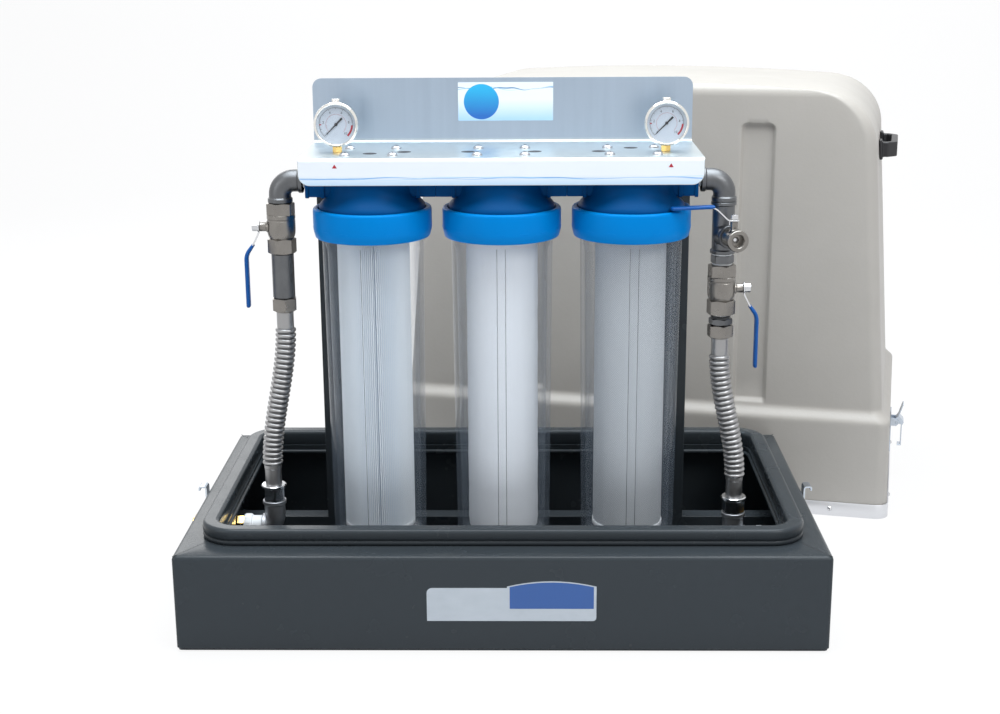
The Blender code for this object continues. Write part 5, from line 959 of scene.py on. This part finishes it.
def elbow(skin, start, corner, end, bend, radius, band):
    """A bend along three points of its middle line, with a band round each end."""
    shape = Shape(skin)
    shape.tube([start] + bend_route(start, corner, end, bend) + [end], radius, 40)
    face, rim = band
    ring = [(0, 0), (face, 0), (rim, 0.0008), (rim, 0.0058), (radius, 0.0078)]
    for tip in (start, end):
        shape.lathe(ring, towards(tip, corner - tip), 40)
    return shape


def build_elbows():
    for name, side in SIDES:
        line = side * LINE_X
        start, corner, end = spot(side * PORT_X, PORT_Z), spot(line, PORT_Z), spot(line, ELBOW_FOOT)
        shape = elbow(GALVANISED, start, corner, end, 0.021, 0.0166, (0.0177, 0.0186))
        port = towards(start, Vector((side, 0, 0)))
        shape.use(TAPE).lathe([(0.0104, -0.004), (0.0104, 0.001)], port, 24)
        shape.use(GALVANISED).lathe([(0.0097, -0.0175), (0.0097, 0.001)], port, 24)
        shape.finish(f"{name}_top_elbow_form", FIXED, "galvanised_iron", f"{name}_top_elbow")
    for name, side in SIDES:
        line, foot = side * LOW_LINE_X, HOSE_FOOT[name]
        height = foot - LOW_ELBOW_DROP
        start, corner = spot(line, foot - 0.0003), spot(line, height)
        end = spot(side * (LOW_LINE_X + 0.020), height)
        shape = elbow(DARK_ZINC, start, corner, end, 0.018, 0.0162, (0.0176, 0.0184))
        shape.finish(f"{name}_low_elbow_form", FIXED, "galvanised_iron", f"{name}_low_elbow")


def build_valve(name, side, tail=None):
    x, top = side * LINE_X, VALVE_TOP[name]
    barrel_top = top - 0.019
    barrel_foot = barrel_top - 0.036
    foot = barrel_foot - 0.022
    middle = (barrel_top + barrel_foot) / 2
    shape = Shape(NICKEL, at(x))
    twist = turned(12 * side)
    shape.hexagon(barrel_top - 0.001, top, 0.0218, twist)
    shape.hexagon(foot, barrel_foot + 0.001, 0.0222, twist)
    barrel = [(0, 0.0190), (0.0200, 0.0190), (0.0214, 0.0182), (0.0214, 0.0130), (0.0208, 0.0123),
              (0.0208, 0.0105)]
    barrel += [(0.0212, 0.0098), (0.0212, -0.0040), (0.0208, -0.0100), (0.0198, -0.0140),
               (0.0184, -0.0162)]
    barrel += [(0.0180, -0.0190), (0, -0.0190)]
    shape.lathe([(r, z + middle) for r, z in barrel], sides=64)
    out = towards(Vector((0, 0, middle)), Vector((side, 0, 0)))
    boss = [(0.0100, 0.0170), (0.0088, 0.0215), (0.0074, 0.0225), (0.0070, 0.0235),
            (0.0070, 0.0318), (0.0064, 0.0325), (0, 0.0325)]
    shape.lathe(boss, out, 36)
    shape.use(TAPE).lathe([(0.0150, foot - 0.0012), (0.0150, foot + 0.001)], sides=32)
    shape.lathe([(0.0150, top - 0.001), (0.0150, top + 0.0012)], sides=32)
    if tail:
        shape.use(GALVANISED).hexagon(tail + 0.0004, foot - 0.006, 0.0185, twist)
        shape.lathe([(0.0148, foot - 0.0075), (0.0155, foot - 0.0055), (0.0142, foot - 0.004),
                     (0.0155, foot - 0.0028), (0.0142, foot - 0.0012), (0.0150, foot + 0.001)],
                     sides=40)
    shape.finish(f"{name}_valve_form", FIXED, "nickel_plate", f"{name}_valve_body", angle=28)

    body = f"{name}_valve_handle"
    stem = Shape(BRIGHT, outward(side, x, middle))
    stem.lathe([(0.0039, 0.016), (0.0039, 0.0440), (0, 0.0450)], sides=24)
    stem.hexagon(0.0355, 0.0440, 0.0070)
    stem.lathe([(0.0068, 0.0352), (0.0078, 0.0352), (0.0078, 0.0362), (0.0068, 0.0362)], sides=32,
               closed=True)
    stem.lathe(ball(0.0148, 16), sides=32)
    stem.finish(f"{name}_stem_and_ball", body, "nickel_plate", f"{name}_valve_ball", angle=32)

    inner = 0.0328
    centre = LINE_X + inner + 0.0011
    corners = [(centre, 0.0), (centre, -0.008), (centre + 0.010, -0.028), (centre + 0.021, -0.043),
               (centre + 0.021, -0.122)]
    route = rounded_route(corners, 0.012, 6)
    lever = Shape(LEVER_STEEL)
    strip = [(side * u, middle + v) for u, v in route]
    lever.slab(ribbon(strip, 0.0022), ROW_Y - 0.006, ROW_Y + 0.006, "Y")
    nut = round_plate(inner, inner + 0.0022, 0.0092, 0.0004)
    lever.lathe(nut, outward(side, x, middle), 40)
    lever.finish(f"{name}_lever_form", body, "brushed_stainless", f"{name}_valve_lever",
                 bevel=0.0004, angle=35)

    build_grip(f"{name}_lever_grip", body, [(side * u, ROW_Y, middle + v) for u, v in corners[2:]],
               Y_AXIS, 0.0082, 0.0031)


def build_grip(node, body, corners, across, half_width, half_thick):
    """A dipped vinyl sleeve: flat ovals along the lever, closed with a round tip."""
    route = rounded_route(corners, 0.014, 8)
    fine = []
    for first, last in zip(route, route[1:]):
        count = max(1, int((last - first).length / 0.006))
        fine += [first.lerp(last, k / count) for k in range(count)]
    fine.append(route[-1])
    length = len(fine) - 1
    tip = (fine[-1] - fine[-2]).normalized()
    spots = [(point, 1.0 if k else 0.86, 1.0 if k else 0.8) for k, point in enumerate(fine)]
    spots += [(fine[-1] + tip * 0.0030 * math.sin(t), math.cos(t), math.cos(t))
              for t in (0.5, 0.9, 1.2, 1.45, 1.57)]
    rings = []
    for k, (point, wide, thick) in enumerate(spots):
        here, there = fine[min(max(k - 1, 0), length)], fine[min(k + 1, length)]
        on = (there - here).normalized() if (there - here).length > 1e-9 else tip
        normal = across.cross(on)
        ring = []
        for step in range(24):
            turn = math.tau * step / 24
            c, s = math.cos(turn), math.sin(turn)
            u = math.copysign(abs(c) ** 0.7, c) * half_width * max(wide, 0.02)
            v = math.copysign(abs(s) ** 0.8, s) * half_thick * max(thick, 0.02)
            ring.append(point + across * u + normal * v)
        rings.append(ring)
    Shape(VINYL).loft(rings).finish(node + "_form", body, "blue_vinyl", node, angle=60)


def build_hose(name, side, nut, ribs):
    top, foot = HOSE_TOP[name], HOSE_FOOT[name]
    start, end = top - 0.047, foot + 0.058

    def middle(height):
        along = min(max((start - height) / (start - end), 0), 1)
        return spot(side * (LINE_X + 0.029 * along * along * (3 - 2 * along)), height)

    shape = Shape(HOSE_STEEL)
    shape.tube([middle(top - 0.001), middle(top - 0.02), middle(start)], 0.0129, 32)
    swell = (0.0, 0.50, 0.84, 0.97, 1.0, 0.97, 0.84, 0.50)
    count = ribs * len(swell)
    heights = [start - (start - end) * k / count for k in range(count + 1)]
    radii = [0.0122 + 0.0036 * swell[k % len(swell)] for k in range(count + 1)]
    shape.tube([middle(z) for z in heights], radii, 28)
    shape.tube([middle(end), middle(end - 0.012), middle(foot + 0.001)], 0.0129, 32)
    shape.lathe([(0.0128, end - 0.006), (0.0136, end - 0.005), (0.0136, end + 0.001),
                 (0.0128, end + 0.002)],
                at(middle(end).x), 32, closed=True)
    upper = at(side * LINE_X) @ turned(8)
    shape.use(NICKEL).hexagon(top - nut, top, 0.0205, upper)
    shape.lathe([(0.0129, top - nut - 0.0025), (0.0150, top - nut - 0.0015),
                 (0.0155, top - nut + 0.001)], upper, 36)
    lower = at(side * LOW_LINE_X) @ turned(10)
    shape.use(BRIGHT).hexagon(foot, foot + 0.0215, 0.0178, lower)
    flange = [(0, foot + 0.0205), (0.0184, foot + 0.0205), (0.0194, foot + 0.0215),
              (0.0194, foot + 0.0245)]
    shape.lathe(flange + [(0.0180, foot + 0.0258), (0.0128, foot + 0.0262)], lower, 44)
    shape.finish(f"{name}_hose_form", FIXED, "brushed_stainless", f"{name}_hose", angle=38)


def build_pipe_and_tee():
    shape = Shape(GALVANISED, at(-LINE_X))
    shape.lathe(round_plate(0.4877, 0.5559, 0.0168, 0.001), sides=48)
    shape.finish("inlet_pipe_form", FIXED, "galvanised_iron", "inlet_pipe")

    shape = Shape(GALVANISED, at(LINE_X))
    foot, top, radius, band = 0.5540, 0.6332, 0.0166, 0.0188
    half = [(0, 0), (band - 0.001, 0), (band, 0.001), (band, 0.0050), (radius, 0.0068)]
    run = [(r, foot + rise) for r, rise in half] + [(r, top - drop) for r, drop in half[::-1]]
    shape.lathe(run, sides=40)
    branch = Matrix.Translation((0, 0, BRANCH_Z)) @ turned(BRANCH_DEGREES)
    out = branch @ towards(Vector(), FORWARD)
    profile = [(0.0190, 0.008), (0.0172, 0.0130), (0.0158, 0.0165), (0.0156, 0.0225),
               (0.0166, 0.0243), (0.0172, 0.0250)]
    shape.lathe(profile + [(0.0172, 0.0300), (0.0164, 0.0310), (0, 0.0310)], out, 44)
    shape.hexagon(0.5390, 0.5520, 0.0178, turned(20))
    shape.use(TAPE).lathe([(0.0150, 0.5366), (0.0150, 0.5392)], sides=32)
    shape.lathe([(0.0152, 0.5515), (0.0152, 0.5545)], sides=32)
    shape.finish("outlet_tee_form", FIXED, "galvanised_iron", "outlet_tee")


TAP_REACH = 0.095


def build_tap():
    """Built with the tee's axis at the origin, its body along -Y and its lever along -X."""
    place = at(LINE_X, BRANCH_Z) @ turned(BRANCH_DEGREES)
    start, end = 0.0313, 0.0673
    centre = Vector((0, -0.0463, 0))
    pivot = Matrix.Translation(centre)
    shape = Shape(NICKEL, place)
    out = towards(Vector(), FORWARD)
    profile = [(0.0078, start - 0.01), (0.0078, start), (0.0128, start), (0.0138, start + 0.0012),
               (0.0138, 0.0375)]
    profile += [(0.0131, 0.0390), (0.0131, 0.0530), (0.0138, 0.0560), (0.0147, 0.0585)]
    shape.lathe(profile, out, 48)
    mouth = [(0.0142, 0.0578), (0.0160, 0.0586), (0.0162, 0.0596), (0.0162, end - 0.0010),
             (0.0154, end), (0.0104, end)]
    mouth += [(0.0095, end - 0.0008), (0.0095, end - 0.0035), (0.0091, end - 0.004),
              (0.0095, end - 0.0050), (0.0091, end - 0.0060)]
    mouth += [(0.0095, end - 0.0070), (0.0091, end - 0.0080), (0.0093, end - 0.012),
              (0.0047, end - 0.0121), (0.0047, end - 0.0140)]
    shape.lathe(mouth, out, 48)
    boss = [(0.0085, 0.0105), (0.0066, 0.0138), (0.0056, 0.0150), (0.0056, 0.0262),
            (0.0050, 0.0270), (0, 0.0270)]
    shape.lathe(boss, pivot, 32)
    shape.finish("tap_form", FIXED, "nickel_plate", "tap_body", angle=32)

    stem = Shape(BRIGHT, place @ pivot)
    stem.lathe([(0.0028, 0.008), (0.0028, 0.0370), (0, 0.0375)], sides=20)
    stem.hexagon(0.0296, 0.0366, 0.0056)
    stem.lathe(ball(0.0087, 14), sides=28)
    stem.finish("tap_stem_and_ball", "tap_handle", "nickel_plate", "tap_ball", angle=32)

    lever = Shape(LEVER_STEEL, place)
    flat, rise = 0.0283, 0.0493
    corners = [(0, flat), (-0.010, flat), (-0.032, rise), (-TAP_REACH, rise)]
    lever.slab(ribbon([tuple(p) for p in rounded_route(corners, 0.009, 6)], 0.0020),
               centre.y - 0.005, centre.y + 0.005, "Y")
    lever.lathe(round_plate(0.0273, 0.0293, 0.0072, 0.0003), pivot, 32)
    for turn in (0.6, 2.5):
        lever.box((0.0058, -0.002, 0.0205), (0.0072, 0.002, 0.0285),
                  pivot @ Matrix.Rotation(turn, 4, "Z"))
    lever.finish("tap_lever_form", "tap_handle", "brushed_stainless", "tap_lever", bevel=0.0004,
                 angle=35)
    grip = [place @ Vector((u, centre.y, rise)) for u in (-0.032, -0.064, -TAP_REACH)]
    across = (place.to_3x3() @ Y_AXIS).normalized()
    build_grip("tap_grip", "tap_handle", grip, across, 0.0063, 0.0029)


def build_wall_unions():
    for name, side in SIDES:
        height = HOSE_FOOT[name] - LOW_ELBOW_DROP
        out = outward(side, 0, height)
        shape = Shape(WHITE, out)
        profile = [(0.0080, 0.3813), (0.0144, 0.3813), (0.0150, 0.3820), (0.0150, 0.3965),
                   (0.0170, 0.3975)]
        profile += [(0.0175, 0.3985), (0.0175, 0.4083), (0.0168, 0.4093), (0.0118, 0.4093),
                    (0.0080, 0.3975)]
        shape.lathe(profile, sides=44, closed=True)
        for k in range(12):
            turn = turned(30 * k)
            shape.slab([(0.0168, 0.3990), (0.0179, 0.3995), (0.0179, 0.4078), (0.0168, 0.4083)],
                       -0.0009, 0.0009, "Y", turn)
        shape.finish(f"{name}_coupling_form", FIXED, "white_plastic", f"{name}_wall_coupling")
        shape = Shape(BRASS, out)
        tube = [(0.0080, 0.3976), (0.0115, 0.3976)]
        for k in range(11):
            tube += [(0.0115, 0.4220 + 0.0030 * k), (0.0109, 0.4235 + 0.0030 * k)]
        shape.lathe(tube + [(0.0115, 0.4780), (0.0115, 0.4912), (0.0108, 0.4920), (0.0080, 0.4920)],
                    sides=36, closed=True)
        shape.hexagon(0.4096, 0.4216, 0.0152)
        shape.hexagon(0.4687, 0.4777, 0.0152)
        shape.lathe([(0, 0.4803), (0.0172, 0.4803), (0.0180, 0.4811), (0.0180, 0.4858),
                     (0.0165, 0.4873), (0, 0.4873)], sides=44)
        shape.finish(f"{name}_union_form", FIXED, "yellow_brass", f"{name}_wall_union", angle=38)


# The cover


COVER = Vector((0.457, 0.259, 0.768))
SKIRT, STEP_TOP = 0.1735, 0.1965
END_ROUND, EDGE_ROUND, CORNER_ROUND, CROWN, TOP_FALL = 0.105, 0.022, 0.022, 0.010, 0.008
END_DRAFT, FACE_DRAFT = 0.033, 0.014
SHOULDER = COVER.z - CROWN - END_ROUND
WALL = 0.004
CHANNEL_X, CHANNEL_HALF, CHANNEL_DEEP, CHANNEL_ROUND = 0.203, 0.0295, 0.009, 0.0125
STRIP_SCREW_X, STRIP_SCREW_Y = 0.357, 0.159
COVER_CORNER, TURN = Vector((0.6808, 0.2544, 0)), turned(-13)
COVER_PLACE = Matrix.Translation(COVER_CORNER - TURN @ Vector((COVER.x, -COVER.y, 0))) @ TURN


def smooth(low, high, value):
    share = min(max((value - low) / (high - low), 0), 1)
    return share * share * (3 - 2 * share)


def wall_inset(z, draft):
    if z <= SKIRT:
        return 0.003 * z / SKIRT
    step = 0.003 + 0.015 * smooth(SKIRT, STEP_TOP, z)
    return step + draft * max(z - STEP_TOP, 0) / (SHOULDER - STEP_TOP)


def face_inset(z, wall):
    start = COVER.z - EDGE_ROUND
    radius = EDGE_ROUND - wall
    over = min(max(z - start, 0), radius)
    return wall_inset(min(z, start), FACE_DRAFT) + wall + radius - math.sqrt(radius**2 - over**2)


def cover_ring(end, face, z):
    """One level of the shell, with the channels pressed into its front and rear."""
    half_x, half_y, radius = COVER.x - end, COVER.y - face, CORNER_ROUND
    deep = CHANNEL_DEEP * smooth(0.198, 0.206, z) * (1 - smooth(0.6935, 0.7005, z))
    over = min(max(z - 0.688, 0), CHANNEL_ROUND)
    half = CHANNEL_HALF - CHANNEL_ROUND + math.sqrt(CHANNEL_ROUND**2 - over**2)
    shares = (1.7, 1.2, 1.08, 1.02, 0.97, 0.90, 0.83, 0.78, 0.4)
    marks = [s * half * share for s in (-1, 1) for share in shares]
    stops = sorted([0, -0.36, 0.36] + [s * CHANNEL_X + m for s in (-1, 1) for m in marks + [0]])
    limit = half_x - radius
    near_corner = arc(half_x - radius, half_y - radius, radius, 0, 90, 10)
    far_corner = arc(half_y - radius, half_x - radius, radius, 0, 90, 10)

    def pressed(x):
        return deep * (1 - smooth(0.80, 1.05, min(abs(x - CHANNEL_X), abs(x + CHANNEL_X)) / half))

    ring = []
    for side in (1, -1):
        ring += [(side * u, side * v) for u, v in near_corner]
        for stop in reversed(stops):
            x = stop * min(1, limit / 0.37)
            ring.append((side * x, side * (half_y - (pressed(x) if limit > 0.3 else 0))))
        ring += [(-side * v, side * u) for u, v in far_corner]
    above = max(z - SHOULDER, 0) / (COVER.z - SHOULDER)
    return [(u, v, z - TOP_FALL * above * (v + COVER.y) / (2 * COVER.y)) for u, v in ring]


def cover_levels(wall):
    """Rings from the foot up the drafted walls, round the ends and over the crowned top."""
    levels = [0, 0.03, 0.09, 0.15, 0.168, 0.1735, 0.177, 0.181, 0.185, 0.189, 0.193, 0.1965, 0.200,
              0.204, 0.208]
    levels += [0.24, 0.30, 0.38, 0.46, 0.54, 0.62, SHOULDER]
    rings = [cover_ring(wall_inset(z, END_DRAFT) + wall, face_inset(z, wall), z) for z in levels]
    reach = wall_inset(SHOULDER, END_DRAFT) + END_ROUND
    radius = END_ROUND - wall
    tall = [0.010, 0.020, 0.030, 0.0365, 0.040, 0.043, 0.046, 0.049, 0.056, 0.066, 0.076, 0.085,
            0.092, 0.097]
    heights = [h for h in tall if h < radius - 0.003]
    for height in heights + [radius - 0.002, radius - 0.0005, radius]:
        z = SHOULDER + height
        end = reach - math.sqrt(max(radius**2 - height**2, 0))
        rings.append(cover_ring(end, face_inset(z, wall), z))
    spread = COVER.x - reach
    for share in (0.92, 0.84, 0.75, 0.65, 0.55, 0.45, 0.35, 0.25, 0.15):
        z = SHOULDER + radius + CROWN * (1 - share**2) / (1 - 0.15**2)
        rings.append(cover_ring(reach + spread * (1 - share), face_inset(z, wall), z))
    return rings


def build_cover():
    shape = Shape(BEIGE, COVER_PLACE)
    shape.loft(cover_levels(0)[::-1] + cover_levels(WALL))
    shape.finish("cover_form", "cover", "beige_moulding", "cover_shell", angle=42)

    strip = Shape(MILL, COVER_PLACE)
    section = [(0.0003, 0), (0.0020, 0), (0.0023, 0.0004)]
    section += [(out, 0.026 - z) for out, z in section[::-1]]
    rings = []
    for out, z in section:
        x, y, radius = COVER.x + out, COVER.y + out, CORNER_ROUND + out
        rings.append([(u, v, z) for u, v in rounded_rectangle(-x, -y, x, y, radius, 12)])
    strip.loft(rings, closed=True)
    places = [(s * STRIP_SCREW_X, t * COVER.y, 90 * t) for t in (-1, 1) for s in (-1, 1)]
    places += [(-COVER.x, s * STRIP_SCREW_Y, 180) for s in (-1, 1)]
    places += [(COVER.x, s * STRIP_SCREW_Y, 0) for s in (-1, 1)]
    for x, y, degrees in places:
        seat = Matrix.Translation((x, y, 0.013)) @ turned(degrees)
        seat = seat @ Matrix.Translation((0.0023, 0, 0)) @ turned(90, "Y")
        strip.use(BRIGHT).lathe([(0, 0.0026), (0.0020, 0.0024), (0.0036, 0.0014), (0.0045, 0)],
                                seat, 24)
        # Each screw's slot is a black bar: painted shade in the slot.
        strip.use(INK).box((-0.0022, -0.0004, 0.0020), (0.0022, 0.0004, 0.00262), seat)
    strip.finish("edge_strip_form", "cover", "mill_aluminium", "cover_edge_strip")


# The labels: each water line has an offset, a pace, a swing, a thickness and a tint


LIP_WAVES = [(0.4, 33, 0.0012, 0.0007, (0.16, 0.42, 0.80)),
             (2.1, 21, 0.0017, 0.0004, (0.42, 0.70, 0.92)),
             (4.0, 47, 0.0008, 0.0002, (0.10, 0.30, 0.66))]
LIP_LABEL = label("lip_label", LIP_FOOT, SHELF_TOP, 0.6790, LIP_WAVES, 0.12)
CARD_WAVES = [(1.2, 95, 0.0016, 0.0008, (0.02, 0.20, 0.42)),
              (3.3, 60, 0.0022, 0.0005, (0.20, 0.50, 0.75))]
CARD_DISC = (-0.0325, 0.7691, 0.0272)
CARD_LABEL = label("card_label", CARD_FOOT, CARD_TOP, 0.7890, CARD_WAVES, 0.30, CARD_DISC)
DECAL = decal()


def build_decal():
    front = -BASE.y
    places = [0.008 + 0.013 * k for k in range(10, -1, -1)]
    arch = [(x, 0.1124 - ARCH_FALL * (x - ARCH_X) ** 2) for x in places]
    outline = [(-0.1092, 0.0500)] + arc(0.1331, 0.0550, 0.0050, 270, 360, 4)
    outline += [(0.1381, 0.1045)] + arch + [(0.008, 0.1018)] + arc(-0.1012, 0.0938, 0.0080, 90, 180,
            5)
    shape = Shape(DECAL).slab(outline, front - 0.0003, front + 0.0005, "Y")
    shape.finish("front_label", FIXED, "dark_grey_paint", angle=35)


# Everything in order


build_tray()
build_rims()
build_decal()
build_bracket()
build_gauges()
for label_name, place_x in FILTERS:
    build_head(label_name, place_x)
    build_ring(label_name, place_x)
    build_bowl(label_name, place_x)
build_cartridges()
build_elbows()
build_valve("inlet", -1)
build_valve("outlet", 1, HOSE_TOP["outlet"] + 0.0003)
build_pipe_and_tee()
build_tap()
build_hose("inlet", -1, 0.020, 28)
build_hose("outlet", 1, 0.019, 25)
build_wall_unions()
build_cover()
dress("upright_frame", PAINT, 0.0012)
for end_name in ("right", "left"):
    dress(f"{end_name}_cover_handle", BLACK, 0.0025)
    for latch_piece in ("plate", "lever", "hook"):
        dress(f"{end_name}_latch_{latch_piece}", ZINC, 0.0003)


# The studio and the camera


SEEN_BY = "Camera", "Glossy", "Transmission"


def pale_floor():
    """Nearly white where it is seen, and it bounces light like a grey floor."""
    finish = Finish("pale_floor", (0.80, 0.81, 0.83), 0.6)
    finish.vary(finish.noise((2, 2, 2)), 0.55, 0.65)
    white = finish.node("ShaderNodeEmission", {"Strength": 1.0})
    straight, mirrored, through = [finish.light_path(kind) for kind in SEEN_BY]
    seen = (straight + mirrored + through).math("MINIMUM", 1) * 0.90
    return finish.join(seen, finish.shader.outputs[0], white.socket).material


def build_studio():
    route = [(-6, 0)] + [(x, z) for x, z in arc(3.2, 1.6, 1.6, 270, 360, 12)] + [(4.8, 5.0)]
    points = [(x, y, z - 0.0004) for y, z in route for x in (-7, 7)]
    faces = [(2 * k, 2 * k + 1, 2 * k + 3, 2 * k + 2) for k in range(len(route) - 1)]
    mesh = bpy.data.meshes.new("floor")
    mesh.from_pydata(points, [], faces)
    mesh.shade_smooth()
    mesh.materials.append(pale_floor())
    floor = bpy.data.objects.new("floor", mesh)
    bpy.context.scene.collection.objects.link(floor)


def lamp(name, place, target, size, power, colour):
    data = bpy.data.lights.new(name, "AREA")
    data.shape, data.size, data.size_y = "RECTANGLE", size[0], size[1]
    data.energy, data.color = power, colour
    light = bpy.data.objects.new(name, data)
    bpy.context.scene.collection.objects.link(light)
    light.location = place
    light.rotation_euler = (Vector(target) - Vector(place)).to_track_quat("-Z", "Y").to_euler()


# Name, place, target, size, power and colour
LAMPS = (
    ("key", (1.9, -2.3, 2.6), (0.0, 0.0, 0.35), (1.5, 1.2), 34, (1, 1, 1)),
    ("fill", (-2.6, -1.9, 1.5), (0.0, 0.0, 0.35), (1.2, 1.6), 10, (1, 1, 1)),
    ("top", (0.15, -0.1, 2.6), (0.15, -0.1, 0.0), (2.6, 2.2), 120, (0.90, 0.96, 1.0)),
    ("behind", (-1.5, 3.0, 1.5), (-0.3, 0.0, 0.15), (1.4, 1.0), 12, (1, 1, 1)),
    ("back", (0.4, 2.6, 2.6), (0.3, 3.6, 1.4), (3.0, 1.0), 60, (1, 1, 1)),
)


def build_lights():
    for name, place, target, size, power, colour in LAMPS:
        lamp(name, place, target, size, power, colour)
    bpy.context.scene.world = pale_world()
    bpy.context.scene.view_settings.view_transform = "Standard"


def pale_world():
    """White where it is seen or mirrored, and dimmer as a light."""
    world = bpy.data.worlds.new("studio")
    world.use_nodes = True
    tree = world.node_tree
    dim = tree.nodes["Background"]
    dim.inputs["Color"].default_value = (0.88, 0.92, 1.0, 1)
    dim.inputs["Strength"].default_value = 0.30
    white, mixed = tree.nodes.new("ShaderNodeBackground"), tree.nodes.new("ShaderNodeMixShader")
    path = tree.nodes.new("ShaderNodeLightPath")
    first, second = [tree.nodes.new("ShaderNodeMath") for _ in range(2)]
    white.inputs["Color"].default_value = (1, 1, 1, 1)
    first.operation, second.operation, second.use_clamp = "ADD", "ADD", True
    for kind, joined in zip(SEEN_BY, (first.inputs[0], first.inputs[1], second.inputs[1])):
        tree.links.new(path.outputs[f"Is {kind} Ray"], joined)
    tree.links.new(first.outputs[0], second.inputs[0])
    tree.links.new(second.outputs[0], mixed.inputs[0])
    tree.links.new(dim.outputs[0], mixed.inputs[1])
    tree.links.new(white.outputs[0], mixed.inputs[2])
    tree.links.new(mixed.outputs[0], tree.nodes["World Output"].inputs["Surface"])
    return world


# The turns are yaw, pitch and roll
CAMERA_PLACE, CAMERA_LENS, CAMERA_FILM = (0.0397, -2.423, 1.023), 56.95, 36.0
CAMERA_TURNS = (-0.01861, 0.2626, -0.006541)


def build_camera():
    yaw, pitch, roll = CAMERA_TURNS
    right = Vector((math.cos(yaw), -math.sin(yaw), 0))
    ahead = Vector((math.sin(yaw), math.cos(yaw), 0)) * math.cos(pitch)
    ahead.z = -math.sin(pitch)
    up = right.cross(ahead)
    c, s = math.cos(roll), math.sin(roll)
    right, up = right * c + up * s, up * c - right * s
    data = bpy.data.cameras.new("camera")
    data.lens, data.sensor_width = CAMERA_LENS, CAMERA_FILM
    camera = bpy.data.objects.new("camera", data)
    bpy.context.scene.collection.objects.link(camera)
    frame_of_view = Matrix((right, up, -ahead)).transposed().to_4x4()
    camera.matrix_world = Matrix.Translation(CAMERA_PLACE) @ frame_of_view
    bpy.context.scene.camera = camera


build_studio()
build_lights()
build_camera()
